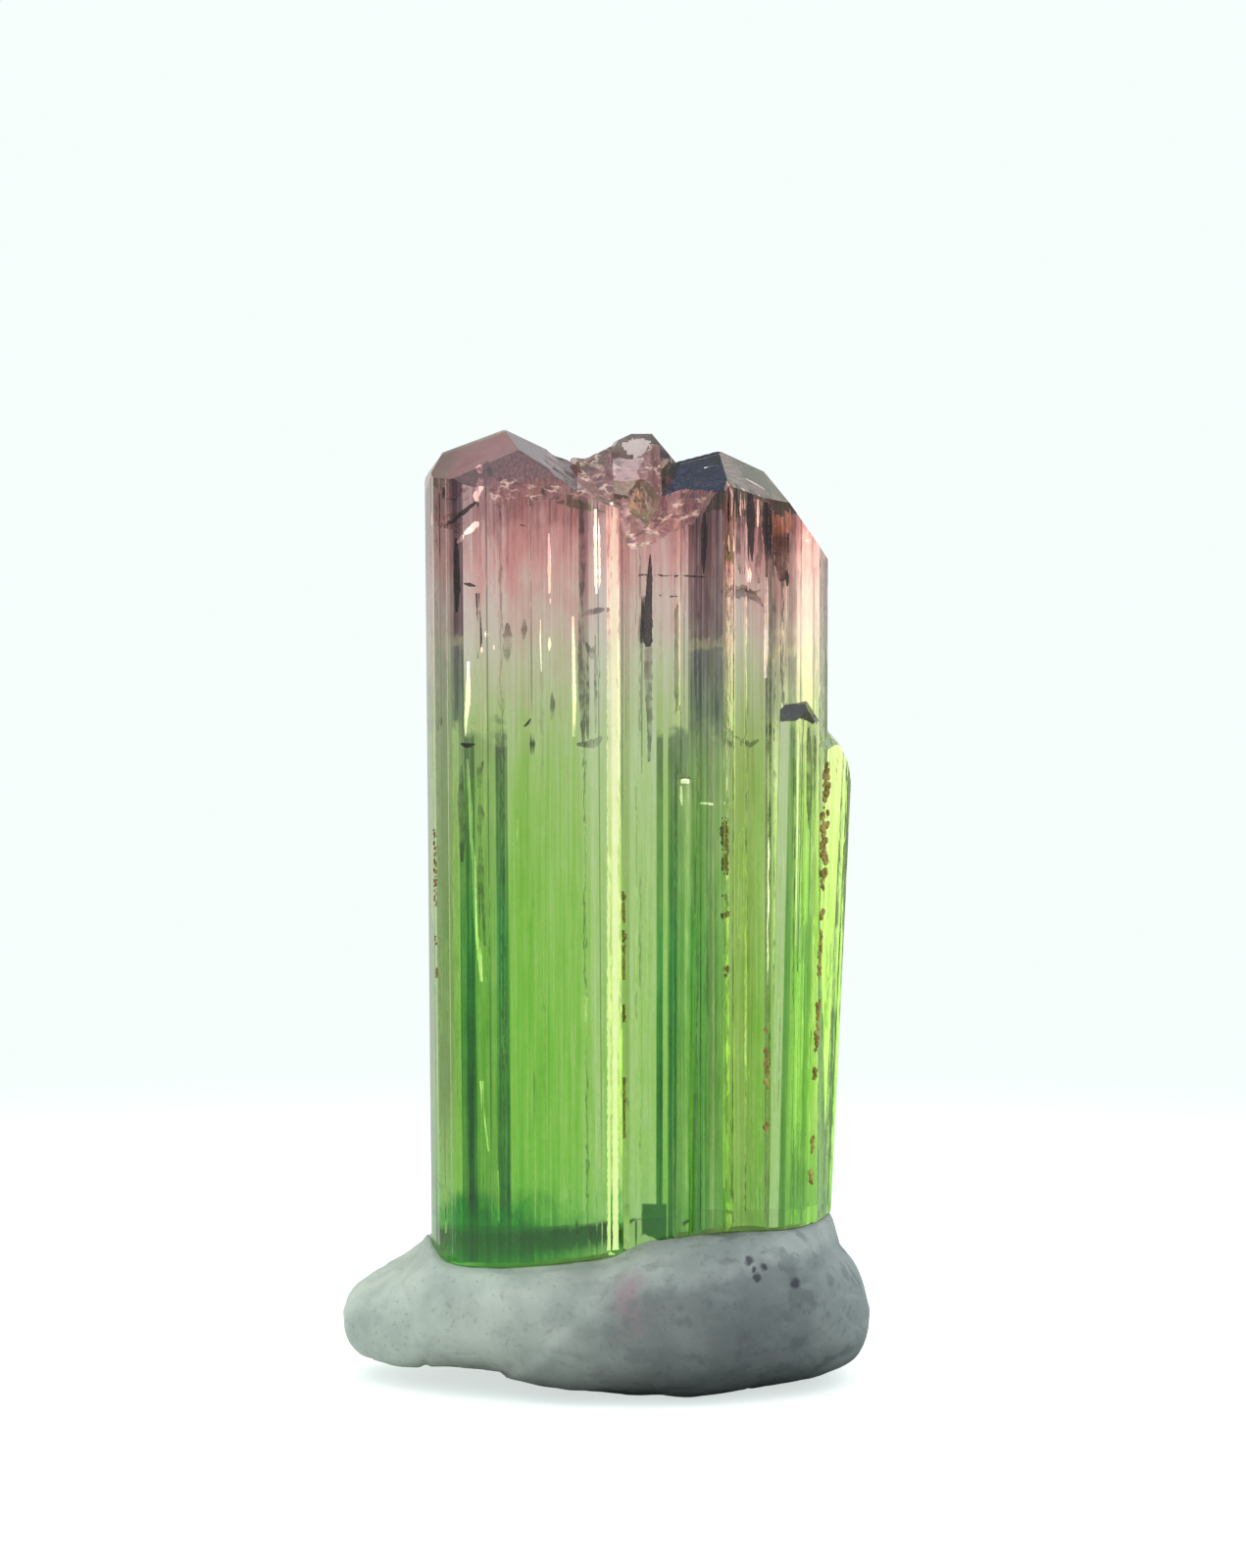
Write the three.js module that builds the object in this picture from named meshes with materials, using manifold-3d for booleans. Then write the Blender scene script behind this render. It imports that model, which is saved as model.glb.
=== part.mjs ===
// A bicolour tourmaline: a cluster of striated prisms grown together side by side as one solid,
// standing upright in the lump of kneaded putty that holds it.
//
// Millimetres, +Z up. The origin is the middle of the footprint, on the surface that the putty
// rests on. The crystal's front faces -Y, and its prisms run along Z.

import * as THREE from "three";
import { mergeVertices } from "three/addons/utils/BufferGeometryUtils.js";
import Module from "manifold-3d";

const wasm = await Module();
wasm.setup();

// Driving dimensions of the crystal.
const CRYSTAL_TOP = 29.92; // height of the tallest point above the resting surface
const BLANK_TOP = 31; // the prisms are made to this height, then their terminations are cut
const BLANK_BOTTOM = 3; // and from this height, then the broken foot is cut
const FLUTE_WIDTH = 0.42; // spacing of the coarse growth striations on the prism faces
const FLUTE_DEPTH = 0.07;

// Driving dimensions of the putty.
const PUTTY_LENGTH = 16.64;
const SOCKET_GAP = 0.3; // clearance between the crystal and the socket that it sits in
const RIDGE_AT = 4.1; // how far back the ridge of putty behind the crystal runs
const RIDGE_WIDTH = 0.75;
const BOXINESS = 0.7; // 1 makes the lump's section an ellipse, less makes it flatter on top
const END_ROUNDNESS = 0.6;
const AROUND = 56; // facets round the lump
const ALONG = 40; // and along it

const CUTTER_SIZE = 40; // bigger than anything that is cut with it
const deg = THREE.MathUtils.degToRad;

// ---------------------------------------------------------------------------------------------
// Solids

// A closed three.js geometry as a manifold solid.
function solid(geometry) {
  const flat = geometry.index ? geometry.toNonIndexed() : geometry;
  const bare = new THREE.BufferGeometry();
  bare.setAttribute("position", flat.getAttribute("position"));
  const merged = mergeVertices(bare, 1e-4);
  return new wasm.Manifold(
    new wasm.Mesh({
      numProp: 3,
      vertProperties: merged.attributes.position.array,
      triVerts: new Uint32Array(merged.index.array),
    }),
  );
}

// A manifold solid as a three.js geometry.
function geometryOf(made) {
  const mesh = made.getMesh();
  const geometry = new THREE.BufferGeometry();
  geometry.setAttribute("position", new THREE.BufferAttribute(mesh.vertProperties, 3));
  geometry.setIndex(new THREE.BufferAttribute(mesh.triVerts, 1));
  const flat = geometry.toNonIndexed();
  flat.computeVertexNormals();
  return flat;
}

// A repeatable number from 0 to 1 for each whole number.
function scatter(i) {
  const x = Math.sin(i * 12.9898 + 4.1414) * 43758.5453;
  return x - Math.floor(x);
}

// The outline with shallow flutes along every side: growth striations run the length of a prism.
function fluted(corners, seed) {
  const points = [];
  corners.forEach(([x, y], i) => {
    const [nextX, nextY] = corners[(i + 1) % corners.length];
    const side = new THREE.Vector2(nextX - x, nextY - y);
    const count = Math.max(1, Math.round(side.length() / FLUTE_WIDTH));
    const inward = new THREE.Vector2(-side.y, side.x).normalize();
    points.push(new THREE.Vector2(x, y));
    for (let k = 1; k < count; k += 1) {
      const along = (k + 0.5 * (scatter(seed + 7 * i + k) - 0.5)) / count;
      const depth = FLUTE_DEPTH * (k % 2) * (0.4 + scatter(seed + 31 * i + k));
      points.push(new THREE.Vector2(x, y).addScaledVector(side, along).addScaledVector(inward, depth));
    }
  });
  return points;
}

// A prism over an outline that runs counter-clockwise seen from above. lean is how far its axis
// moves in X for each mm of height, measured from the height where the outline is drawn.
function prism({ corners, seed, lean = 0, drawnAt = BLANK_TOP, grown = 0, top = BLANK_TOP }) {
  const plain = offset(corners, grown).map(([x, y]) => new THREE.Vector2(x, y));
  const outline = grown > 0 ? plain : fluted(corners, seed);
  const bottom = BLANK_BOTTOM - grown;
  const geometry = new THREE.ExtrudeGeometry(new THREE.Shape(outline), {
    depth: top - bottom,
    bevelEnabled: false,
  });
  geometry.translate(0, 0, bottom);
  const leaning = new THREE.Matrix4().makeShear(0, 0, 0, 0, lean, 0);
  geometry.translate(0, 0, -drawnAt).applyMatrix4(leaning).translate(0, 0, drawnAt);
  return solid(geometry);
}

// The corners moved outwards by a distance, for the socket.
function offset(corners, distance) {
  return corners.map(([x, y], i) => {
    const before = corners[(i + corners.length - 1) % corners.length];
    const after = corners[(i + 1) % corners.length];
    const first = new THREE.Vector2(y - before[1], before[0] - x).normalize();
    const second = new THREE.Vector2(after[1] - y, x - after[0]).normalize();
    const both = first.clone().add(second).normalize();
    const reach = Math.min(distance / Math.max(both.dot(first), 0.5), 2 * distance);
    return [x + both.x * reach, y + both.y * reach];
  });
}

// The solid without what lies above a crystal face. A face goes through a point; azimuth is where
// it looks, in degrees from +X, and slope is its steepness, in degrees from level.
function cutFace(made, { at, azimuth, slope }) {
  const outward = new THREE.Vector3(
    Math.sin(deg(slope)) * Math.cos(deg(azimuth)),
    Math.sin(deg(slope)) * Math.sin(deg(azimuth)),
    Math.cos(deg(slope)),
  );
  const cutter = new THREE.BoxGeometry(CUTTER_SIZE, CUTTER_SIZE, CUTTER_SIZE);
  cutter.translate(0, 0, CUTTER_SIZE / 2);
  cutter.applyQuaternion(new THREE.Quaternion().setFromUnitVectors(new THREE.Vector3(0, 0, 1), outward));
  cutter.translate(...at);
  return made.subtract(solid(cutter));
}

// A conchoidal scoop, as a faceted ellipsoid, to subtract.
function scoop({ at, radii, turn }) {
  const cutter = new THREE.IcosahedronGeometry(1, 3);
  cutter.scale(...radii).rotateY(deg(turn)).translate(...at);
  return solid(cutter);
}

// A block standing on a rough surface, to subtract: it takes away all that lies above the surface.
function aboveBreak({ from, to, step, height }) {
  const [width, depth] = [to[0] - from[0], to[1] - from[1]];
  const block = new THREE.BoxGeometry(
    width, depth, 1, Math.round(width / step), Math.round(depth / step), 1,
  );
  block.translate(from[0] + width / 2, from[1] + depth / 2, 0);
  const position = block.getAttribute("position");
  for (let i = 0; i < position.count; i += 1) {
    const isLow = position.getZ(i) < 0;
    position.setZ(i, isLow ? height(position.getX(i), position.getY(i)) : CUTTER_SIZE);
  }
  return solid(block);
}

// Low bumps for broken surfaces.
function bumps(x, y) {
  return 0.12 * Math.sin(5.1 * x + 1.3) * Math.sin(4.3 * y + 0.7) + 0.06 * Math.sin(11.3 * x + 9.7 * y);
}

// From 0 to 1, smoothly, as a value goes from one end to the other.
function fade(value, start, end) {
  return THREE.MathUtils.smoothstep((value - start) / (end - start), 0, 1);
}

// ---------------------------------------------------------------------------------------------
// The crystal

// The three faces of every tip look this way, in degrees from +X, at this slope from level.
const TIP_RIGHT = -15;
const TIP_BACK = TIP_RIGHT + 120;
const TIP_FRONT = TIP_RIGHT + 240;
const TIP_SLOPE = 27.3;

// The peaks of the two tips, and the slope of the left tip's steeper right face.
const LEFT_PEAK = [-3.2, -0.4, CRYSTAL_TOP];
const LEFT_SLOPE = 29.5;
const RIGHT_PEAK = [3.5, -0.6, 29.25];
const RIGHT_TIP_EDGE = 1.7; // from here on the right tip reaches over the middle prism
const TIP_STEP = 0.1; // and stands this much lower there

// The height of a tip face over a spot.
function tipHeight(x, y, peak, azimuth, slope) {
  const run = (x - peak[0]) * Math.cos(deg(azimuth)) + (y - peak[1]) * Math.sin(deg(azimuth));
  return peak[2] - Math.tan(deg(slope)) * run;
}

// Outlines seen from above. Each prism's front is at negative Y.
const prisms = {
  left: {
    seed: 1,
    drawnAt: CRYSTAL_TOP,
    lean: -0.006,
    corners: [
      [-5.7, 0.6], [-5.62, -1.3], [-5.33, -2.35], [-4.8, -2.94], [-4.4, -3.13], [-3.46, -3.3],
      [-1.75, -3.38], [0, -3.45], [0.39, -3.05], [0.46, -1.9], [1.2, 0.2], [1.2, 2.9],
      [-0.9, 3.5], [-3.8, 3.4], [-5.2, 2.6],
    ],
    faces: [
      { at: LEFT_PEAK, azimuth: TIP_RIGHT, slope: LEFT_SLOPE },
      { at: LEFT_PEAK, azimuth: TIP_FRONT, slope: TIP_SLOPE },
      { at: [-3.0, -3.1, 28.5], azimuth: 265, slope: 58 },
      { at: LEFT_PEAK, azimuth: 140, slope: 26 },
      { at: LEFT_PEAK, azimuth: 60, slope: 29 },
      { at: [-5.1, 0, 29.2], azimuth: 183, slope: 57 },
      { at: [-5.6, 0, 28.4], azimuth: 185, slope: 76 },
      { at: [-3.1, -0.5, CRYSTAL_TOP - 0.12], azimuth: 262, slope: 19 },
    ],
    broken: { from: [-4.3, -4.2], to: [1.5, 3.8], step: 0.42, height: leftBreak },
  },
  middle: {
    seed: 2,
    corners: [
      [-0.6, -1.6], [0.3, -2.0], [0.74, -3.02], [1.57, -3.15], [2.1, -3.11], [2.55, -3.3],
      [3.35, -3.72], [3.62, -3.85], [3.78, -2.6], [3.9, 2.6], [2.6, 3.6], [0.9, 3.4], [-1.4, 2.6],
    ],
    faces: [{ at: [1.0, 2.2, 28.6], azimuth: TIP_BACK, slope: 38 }],
    broken: { from: [-1.7, -4.4], to: [4.3, 4.0], step: 0.35, height: middleBreak },
  },
  right: {
    seed: 3,
    corners: [
      [3.3, -3.2], [3.7, -3.25], [3.9, -3.65], [4.9, -3.4], [5.3, -3.1], [5.9, -2.65], [6.6, -2.0],
      [6.9, -1.1], [6.97, 1.4], [6.5, 3.1], [5.7, 3.5], [3.4, 3.7], [2.3, 1.5], [2.3, -1.6],
    ],
    faces: [
      { at: RIGHT_PEAK, azimuth: TIP_FRONT, slope: TIP_SLOPE },
      { at: RIGHT_PEAK, azimuth: TIP_BACK, slope: TIP_SLOPE },
      { at: RIGHT_PEAK, azimuth: 20, slope: TIP_SLOPE },
      { at: RIGHT_PEAK, azimuth: -35, slope: TIP_SLOPE },
      { at: [4.85, -0.6, 28.67], azimuth: 2, slope: 54 },
    ],
  },
  knob: {
    seed: 4,
    corners: [[0.25, -1.8], [1.1, -2.0], [1.9, -1.1], [2.2, 0.3], [1.8, 1.4], [0.7, 1.5], [0.1, 0.5]],
    faces: [
      { at: [1.15, 0, 29.74], azimuth: 90, slope: 4 },
      { at: [0.66, 0, 29.7], azimuth: 180, slope: 26 },
      { at: [0.3, 0, 29.5], azimuth: 184, slope: 55 },
      { at: [1.5, 0, 29.68], azimuth: 0, slope: 50 },
      { at: [1.15, 0.9, 29.64], azimuth: 90, slope: 50 },
    ],
    broken: { from: [-0.3, -2.2], to: [2.7, 0.2], step: 0.3, height: knobBreak },
  },
  rightFront: {
    seed: 5,
    drawnAt: 21,
    lean: 0.02,
    corners: [
      [5.33, -2.7], [5.36, -3.35], [5.85, -3.28], [6.0, -3.18], [6.52, -2.75], [6.62, -1.9],
      [6.4, -0.8], [5.4, -1.2],
    ],
    faces: [
      { at: [5.6, -3.3, 21.0], azimuth: -84, slope: 50 },
      { at: [5.6, -2.3, 21.55], azimuth: -90, slope: 8 },
      { at: [6.48, -2.75, 20.9], azimuth: -10, slope: 62 },
    ],
  },
  rightSide: {
    seed: 6,
    drawnAt: 19.2,
    lean: 0.043,
    corners: [
      [6.3, -1.9], [6.85, -1.78], [7.35, -1.2], [7.68, -0.5], [7.73, 0.5], [7.5, 1.6], [6.2, 2.0],
    ],
    faces: [
      { at: [7.0, 0, 20.38], azimuth: 0, slope: 48 },
      { at: [7.45, 0, 19.75], azimuth: 0, slope: 66 },
      { at: [7.64, 0, 19.1], azimuth: 0, slope: 79 },
      { at: [7.0, -1.2, 20.35], azimuth: -80, slope: 50 },
    ],
  },
  frontNeedle: {
    seed: 7,
    drawnAt: 19.2,
    lean: 0.004,
    corners: [[2.2, -3.0], [2.24, -3.5], [2.43, -3.6], [2.62, -3.5], [2.68, -3.0]],
    faces: [{ at: [2.45, -3.5, 19.2], azimuth: -90, slope: 20 }],
  },
};

// The etched front edge of the left tip, and its worn right face.
function leftBreak(x, y) {
  const edge = 27.75 + 2.8 * (y + 3.38) + 0.12 * (x + 1.5) + bumps(x, y);
  const end = 1.6 * Math.max(0, -3.1 - x) ** 1.5;
  const worn = 0.3 * fade(x, -1.6, -2.3) - 0.09 + 0.5 * bumps(x, y);
  return Math.min(edge + end, tipHeight(x, y, LEFT_PEAK, TIP_RIGHT, LEFT_SLOPE) + worn);
}

// The middle prism's broken top: a steep etched shelf, a rough roof behind it, and the right tip
// where that reaches over.
function middleBreak(x, y) {
  const behind = y + 3.13 + 0.55 * Math.max(0, x - 2.3);
  const rise = 0.53 * (x - 0.5) + 0.9 * Math.max(0, x - 2.75);
  const shelf = 25.95 + rise + (1.25 + 1.2 * fade(x, 1.4, 2.0)) * behind + 1.5 * bumps(x, y);
  const roof = 28.95 - 0.25 * Math.max(0, y - 1.2) + 0.5 * fade(x, -0.8, 0.6) + 0.6 * bumps(x, y);
  if (x < RIGHT_TIP_EDGE) return Math.min(shelf, roof);
  const tips = [TIP_FRONT, TIP_BACK, 20, -35].map(
    (azimuth) => tipHeight(x, y, RIGHT_PEAK, azimuth, TIP_SLOPE) - TIP_STEP,
  );
  return Math.min(shelf, roof, ...tips);
}

// The knob's steep front.
function knobBreak(x, y) {
  return 29.7 + 1.25 * (y + 0.4) + 0.6 * bumps(x, y);
}

// The hollow at the foot of the knob.
const hollow = { at: [1.15, -2.6, 27.85], radii: [0.5, 1.3, 0.8], turn: 0 };

// The broken foot, as a line of heights from left to right, as seen from the front.
const footLine = [
  [-9, 5.4], [-5.7, 4.62], [-5.15, 4.15], [-4.6, 4.02], [-2.9, 4.0], [-0.8, 4.2], [0.5, 4.42],
  [1.3, 4.78], [3.6, 5.12], [6.6, 5.2], [7.05, 5.3], [9, 6.4],
];

// What lies under the foot line, right through from front to back.
function underFoot(lift) {
  const outline = [[9, -9], ...[...footLine].reverse().map(([x, z]) => [x, z + lift]), [-9, -9]];
  const geometry = new THREE.ExtrudeGeometry(
    new THREE.Shape(outline.map(([x, z]) => new THREE.Vector2(x, z))),
    { depth: CUTTER_SIZE, bevelEnabled: false },
  );
  geometry.rotateX(Math.PI / 2).translate(0, CUTTER_SIZE / 2, 0);
  return solid(geometry);
}

function terminated(definition) {
  const cut = definition.faces.reduce(cutFace, prism(definition));
  return definition.broken ? cut.subtract(aboveBreak(definition.broken)) : cut;
}

function crystalSolid() {
  const bundle = Object.values(prisms).map(terminated).reduce((all, next) => all.add(next));
  return bundle.subtract(scoop(hollow)).subtract(underFoot(0));
}

// ---------------------------------------------------------------------------------------------
// The putty

// A smooth line through [where, value] pairs.
function smoothLine(pairs) {
  const curve = new THREE.SplineCurve(pairs.map(([x, value]) => new THREE.Vector2(x, value)));
  const samples = curve.getPoints(20 * pairs.length);
  return (x) => {
    const next = samples.findIndex((point) => point.x >= x);
    if (next <= 0) return samples.at(next === 0 ? 0 : -1).y;
    const [before, after] = [samples[next - 1], samples[next]];
    return THREE.MathUtils.mapLinear(x, before.x, after.x, before.y, after.y);
  };
}

// The lump's upper line and lower line from end to end. Its thin left end is off the surface.
const upperLine = smoothLine([
  [-8.32, 2.1], [-8.17, 2.45], [-7.77, 2.85], [-7.15, 3.25], [-6.5, 3.6], [-5.9, 4.0], [-5.3, 4.4],
  [-4, 4.45], [-2, 4.5], [0, 4.75], [2, 5.1], [4, 5.4], [6, 5.15], [6.75, 4.75], [7.18, 4.3],
  [7.58, 3.85], [7.95, 3.3], [8.17, 2.8], [8.32, 2.2],
]);
const lowerLine = smoothLine([
  [-8.32, 2.1], [-8.25, 1.45], [-7.9, 0.88], [-7.39, 0.62], [-6.63, 0.45], [-4.2, 0.45], [-3, 0.36],
  [-1.76, 0.1], [-0.9, -0.02], [1.28, -0.2], [3.56, -0.2], [5, -0.02], [5.8, 0.12], [7.1, 0.42],
  [7.7, 0.68], [8.04, 1.05], [8.24, 1.6], [8.32, 2.2],
]);
const halfWidth = smoothLine([
  [-8.32, 3.4], [-7.2, 3.9], [-5, 4.8], [-2, 5.5], [1, 5.8], [4, 5.8], [6.4, 5.5], [8.32, 5.0],
]);

// The foot's height and the front of the crystal from end to end, and the ridge that the putty was
// pressed up into behind it.
const footHeight = smoothLine(footLine);
const frontLine = smoothLine([
  [-5.6, -1.0], [-5.1, -2.6], [-4.2, -3.2], [0, -3.45], [5.4, -3.4], [6.4, -2.4], [7.1, -0.8],
]);
const backRidge = smoothLine([
  [-8, 0], [-5.6, 0.3], [-4.7, 0.7], [-3.9, 0.55], [-2.5, 0.4], [-0.6, 0.3], [0.6, 0.2],
  [2.0, 0.1], [2.6, 0], [8, 0],
]);

// The lump's top brought down to a rim in front of the crystal's foot, and up to the ridge behind.
function pressed(x, y, z) {
  const ahead = frontLine(x) - y;
  const rim = footHeight(x) - 0.04 - 0.14 * ahead;
  const beside = fade(x, -6.1, -5.5) * fade(x, 7.5, 6.95);
  const near = fade(ahead, 1.1, 0.15) * fade(ahead, -1.2, -0.6) * beside;
  const ridge = backRidge(x) * Math.exp(-(((y - RIDGE_AT) / RIDGE_WIDTH) ** 2));
  return THREE.MathUtils.lerp(z + ridge, rim, near);
}

// A sphere's skin drawn out along X into the lump: its poles are the lump's ends.
function puttyLump() {
  const geometry = new THREE.SphereGeometry(1, AROUND, ALONG);
  const position = geometry.getAttribute("position");
  const squared = (value) => Math.sign(value) * Math.abs(value) ** BOXINESS;
  for (let i = 0; i < position.count; i += 1) {
    const ring = Math.acos(THREE.MathUtils.clamp(position.getY(i), -1, 1));
    const x = (-Math.cos(ring) * PUTTY_LENGTH) / 2;
    const around = Math.atan2(position.getZ(i), position.getX(i));
    const y = halfWidth(x) * Math.sin(ring) ** END_ROUNDNESS * squared(Math.cos(around));
    const middle = (upperLine(x) + lowerLine(x)) / 2;
    const halfHeight = (upperLine(x) - lowerLine(x)) / 2;
    const z = middle + halfHeight * squared(Math.sin(around));
    position.setXYZ(i, x, y, Math.sin(around) > 0 ? pressed(x, y, z) : z);
  }
  return solid(geometry);
}

function puttySolid() {
  const lump = puttyLump();
  const under = new THREE.BoxGeometry(CUTTER_SIZE, CUTTER_SIZE, CUTTER_SIZE);
  under.translate(0, 0, -CUTTER_SIZE / 2);
  const resting = lump.subtract(solid(under));
  const socket = ["left", "middle", "right", "rightFront", "rightSide", "frontNeedle"]
    .map((name) => prism({ ...prisms[name], grown: SOCKET_GAP }))
    .reduce((all, next) => all.add(next))
    .subtract(underFoot(-SOCKET_GAP));
  return resting.subtract(socket);
}

// ---------------------------------------------------------------------------------------------
// The object

const tourmaline = new THREE.MeshStandardMaterial({ color: 0x9bbf78, roughness: 0.08, metalness: 0 });
const puttyGrey = new THREE.MeshStandardMaterial({ color: 0xb9bfb6, roughness: 0.85, metalness: 0 });

const crystal = new THREE.Mesh(geometryOf(crystalSolid()), tourmaline);
crystal.name = "tourmaline_crystal";

const putty = new THREE.Mesh(geometryOf(puttySolid()), puttyGrey);
putty.name = "mounting_putty";

const specimen = new THREE.Group();
specimen.add(crystal, putty);

export default specimen;
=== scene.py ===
"""A bicolour tourmaline cluster standing in a kneaded lump of putty.

The crystal is rebuilt here at full detail: striated prisms swept by a Geometry Nodes tree, tips cut
along the crystal faces, rough breaks carved out, then all joined into one clear solid. Dark blades,
pale veils that glow as painted glints, a cream streak that glows as a painted highlight, needles,
iron stains with a painted glow and rust follow, and the lump of putty that it stands in.
"""

import math
import random

import bmesh
import bpy
from mathutils import Matrix, Vector, noise


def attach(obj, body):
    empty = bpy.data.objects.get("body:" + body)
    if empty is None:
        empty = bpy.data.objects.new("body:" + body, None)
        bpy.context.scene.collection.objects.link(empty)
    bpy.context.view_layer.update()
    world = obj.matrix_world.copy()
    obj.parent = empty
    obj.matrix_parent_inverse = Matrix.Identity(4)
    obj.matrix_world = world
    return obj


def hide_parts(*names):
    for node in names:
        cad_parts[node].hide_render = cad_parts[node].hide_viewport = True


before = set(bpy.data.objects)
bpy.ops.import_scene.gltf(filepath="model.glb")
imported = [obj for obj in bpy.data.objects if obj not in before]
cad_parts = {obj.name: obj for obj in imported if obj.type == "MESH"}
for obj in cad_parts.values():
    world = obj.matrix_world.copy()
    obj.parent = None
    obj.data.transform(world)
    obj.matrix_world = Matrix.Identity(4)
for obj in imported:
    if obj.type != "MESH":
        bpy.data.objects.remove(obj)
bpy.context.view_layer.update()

MM = 0.001

# ------------------------------------------------------------------------------------------------
# Small tools


def new_object(name, mesh):
    obj = bpy.data.objects.new(name, mesh)
    bpy.context.scene.collection.objects.link(obj)
    return obj


def mesh_from(name, points, faces=(), edges=()):
    mesh = bpy.data.meshes.new(name)
    mesh.from_pydata([Vector(point) * MM for point in points], edges, faces)
    mesh.update()
    return mesh


def evaluated_copy(obj, name):
    """What an object's modifiers make of it, as a plain object; the first object is removed."""
    depsgraph = bpy.context.evaluated_depsgraph_get()
    mesh = bpy.data.meshes.new_from_object(obj.evaluated_get(depsgraph), depsgraph=depsgraph)
    mesh.name = name
    bpy.data.objects.remove(obj)
    return new_object(name, mesh)


def boolean(target, operation, tool):
    """The target joined with a tool or cut with it; the tool is used up."""
    name = target.name
    step = target.modifiers.new("boolean", "BOOLEAN")
    step.operation = operation
    step.solver = "MANIFOLD"
    step.object = tool
    made = evaluated_copy(target, name)
    bpy.data.objects.remove(tool)
    return made


def edit(obj, work):
    """Run a function on an object's mesh as a bmesh."""
    bm = bmesh.new()
    bm.from_mesh(obj.data)
    work(bm)
    bm.to_mesh(obj.data)
    bm.free()
    obj.data.update()
    return obj


def dress(obj, material):
    """Give all of an object's faces one material."""
    obj.data.materials.clear()
    obj.data.materials.append(material)
    obj.data.polygons.foreach_set("material_index", [0] * len(obj.data.polygons))


def tidy_solid(bm):
    bmesh.ops.remove_doubles(bm, verts=bm.verts, dist=1e-7)
    bmesh.ops.dissolve_degenerate(bm, edges=bm.edges, dist=1e-7)
    bmesh.ops.recalc_face_normals(bm, faces=bm.faces)


def polished(obj, edge):
    """Clean up a finished solid, and shade it smoothly between edges of this many degrees."""
    edit(obj, tidy_solid)
    obj.data.shade_smooth()
    obj.data.set_sharp_from_angle(angle=math.radians(edge))
    return obj


# What each face of the crystal carries for its material: how deeply it is coloured in the green
# part and above it, how teal it is in the green part, how smoky above that, and how frosted it is.
# The teal and smoky bands are partly the crystal's own colour and partly painted shade and
# reflection from its striated faces, and frost also gives a face a painted glow. Faces of the tips
# may go above 1: teal then stands for olive, and smoke for navy, a painted dark reflection. Below
# 0, teal stands for khaki, in the green part.
PAINT = ("depth", "depth_above", "teal", "smoke", "frost")


def store(mesh, label, values, kind="FLOAT", domain="POINT"):
    """Store a value for every point or face of a mesh."""
    layer = mesh.attributes.new(label, kind, domain)
    layer.data.foreach_set("vector" if kind == "FLOAT_VECTOR" else "value", values)


def paint(mesh, rows):
    """Store one row of paint for every face."""
    for label, column in zip(PAINT, zip(*rows)):
        store(mesh, label, column, domain="FACE")


def smooth_line(pairs):
    """A smooth line through (where, value) pairs, as a function."""
    def value_at(x):
        x = min(max(x, pairs[0][0]), pairs[-1][0])
        i = max(k for k in range(len(pairs) - 1) if pairs[k][0] <= x)
        (x0, y0), (x1, y1) = pairs[i], pairs[i + 1]
        xa, ya = pairs[max(i - 1, 0)]
        xb, yb = pairs[min(i + 2, len(pairs) - 1)]
        width = x1 - x0
        lean0 = (y1 - ya) / (x1 - xa) * width
        lean1 = (yb - y0) / (xb - x0) * width
        t = (x - x0) / width
        return ((1 + 2 * t) * (1 - t) ** 2 * y0 + t * (1 - t) ** 2 * lean0
                + t * t * (3 - 2 * t) * y1 + t * t * (t - 1) * lean1)
    return value_at


def bell(value, middle, width):
    """1 at the middle, and falling to nothing over a width or two either side."""
    return math.exp(-((value - middle) / width) ** 2)


def between(low, high, value):
    """0 below low, 1 above high, and a smooth step from one to the other."""
    t = min(max((value - low) / (high - low), 0.0), 1.0)
    return t * t * (3 - 2 * t)


def spaced(values):
    """Keyword arguments under the labels of their sockets, which have spaces in them."""
    return {label.replace("_", " "): value for label, value in values.items()}


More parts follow.
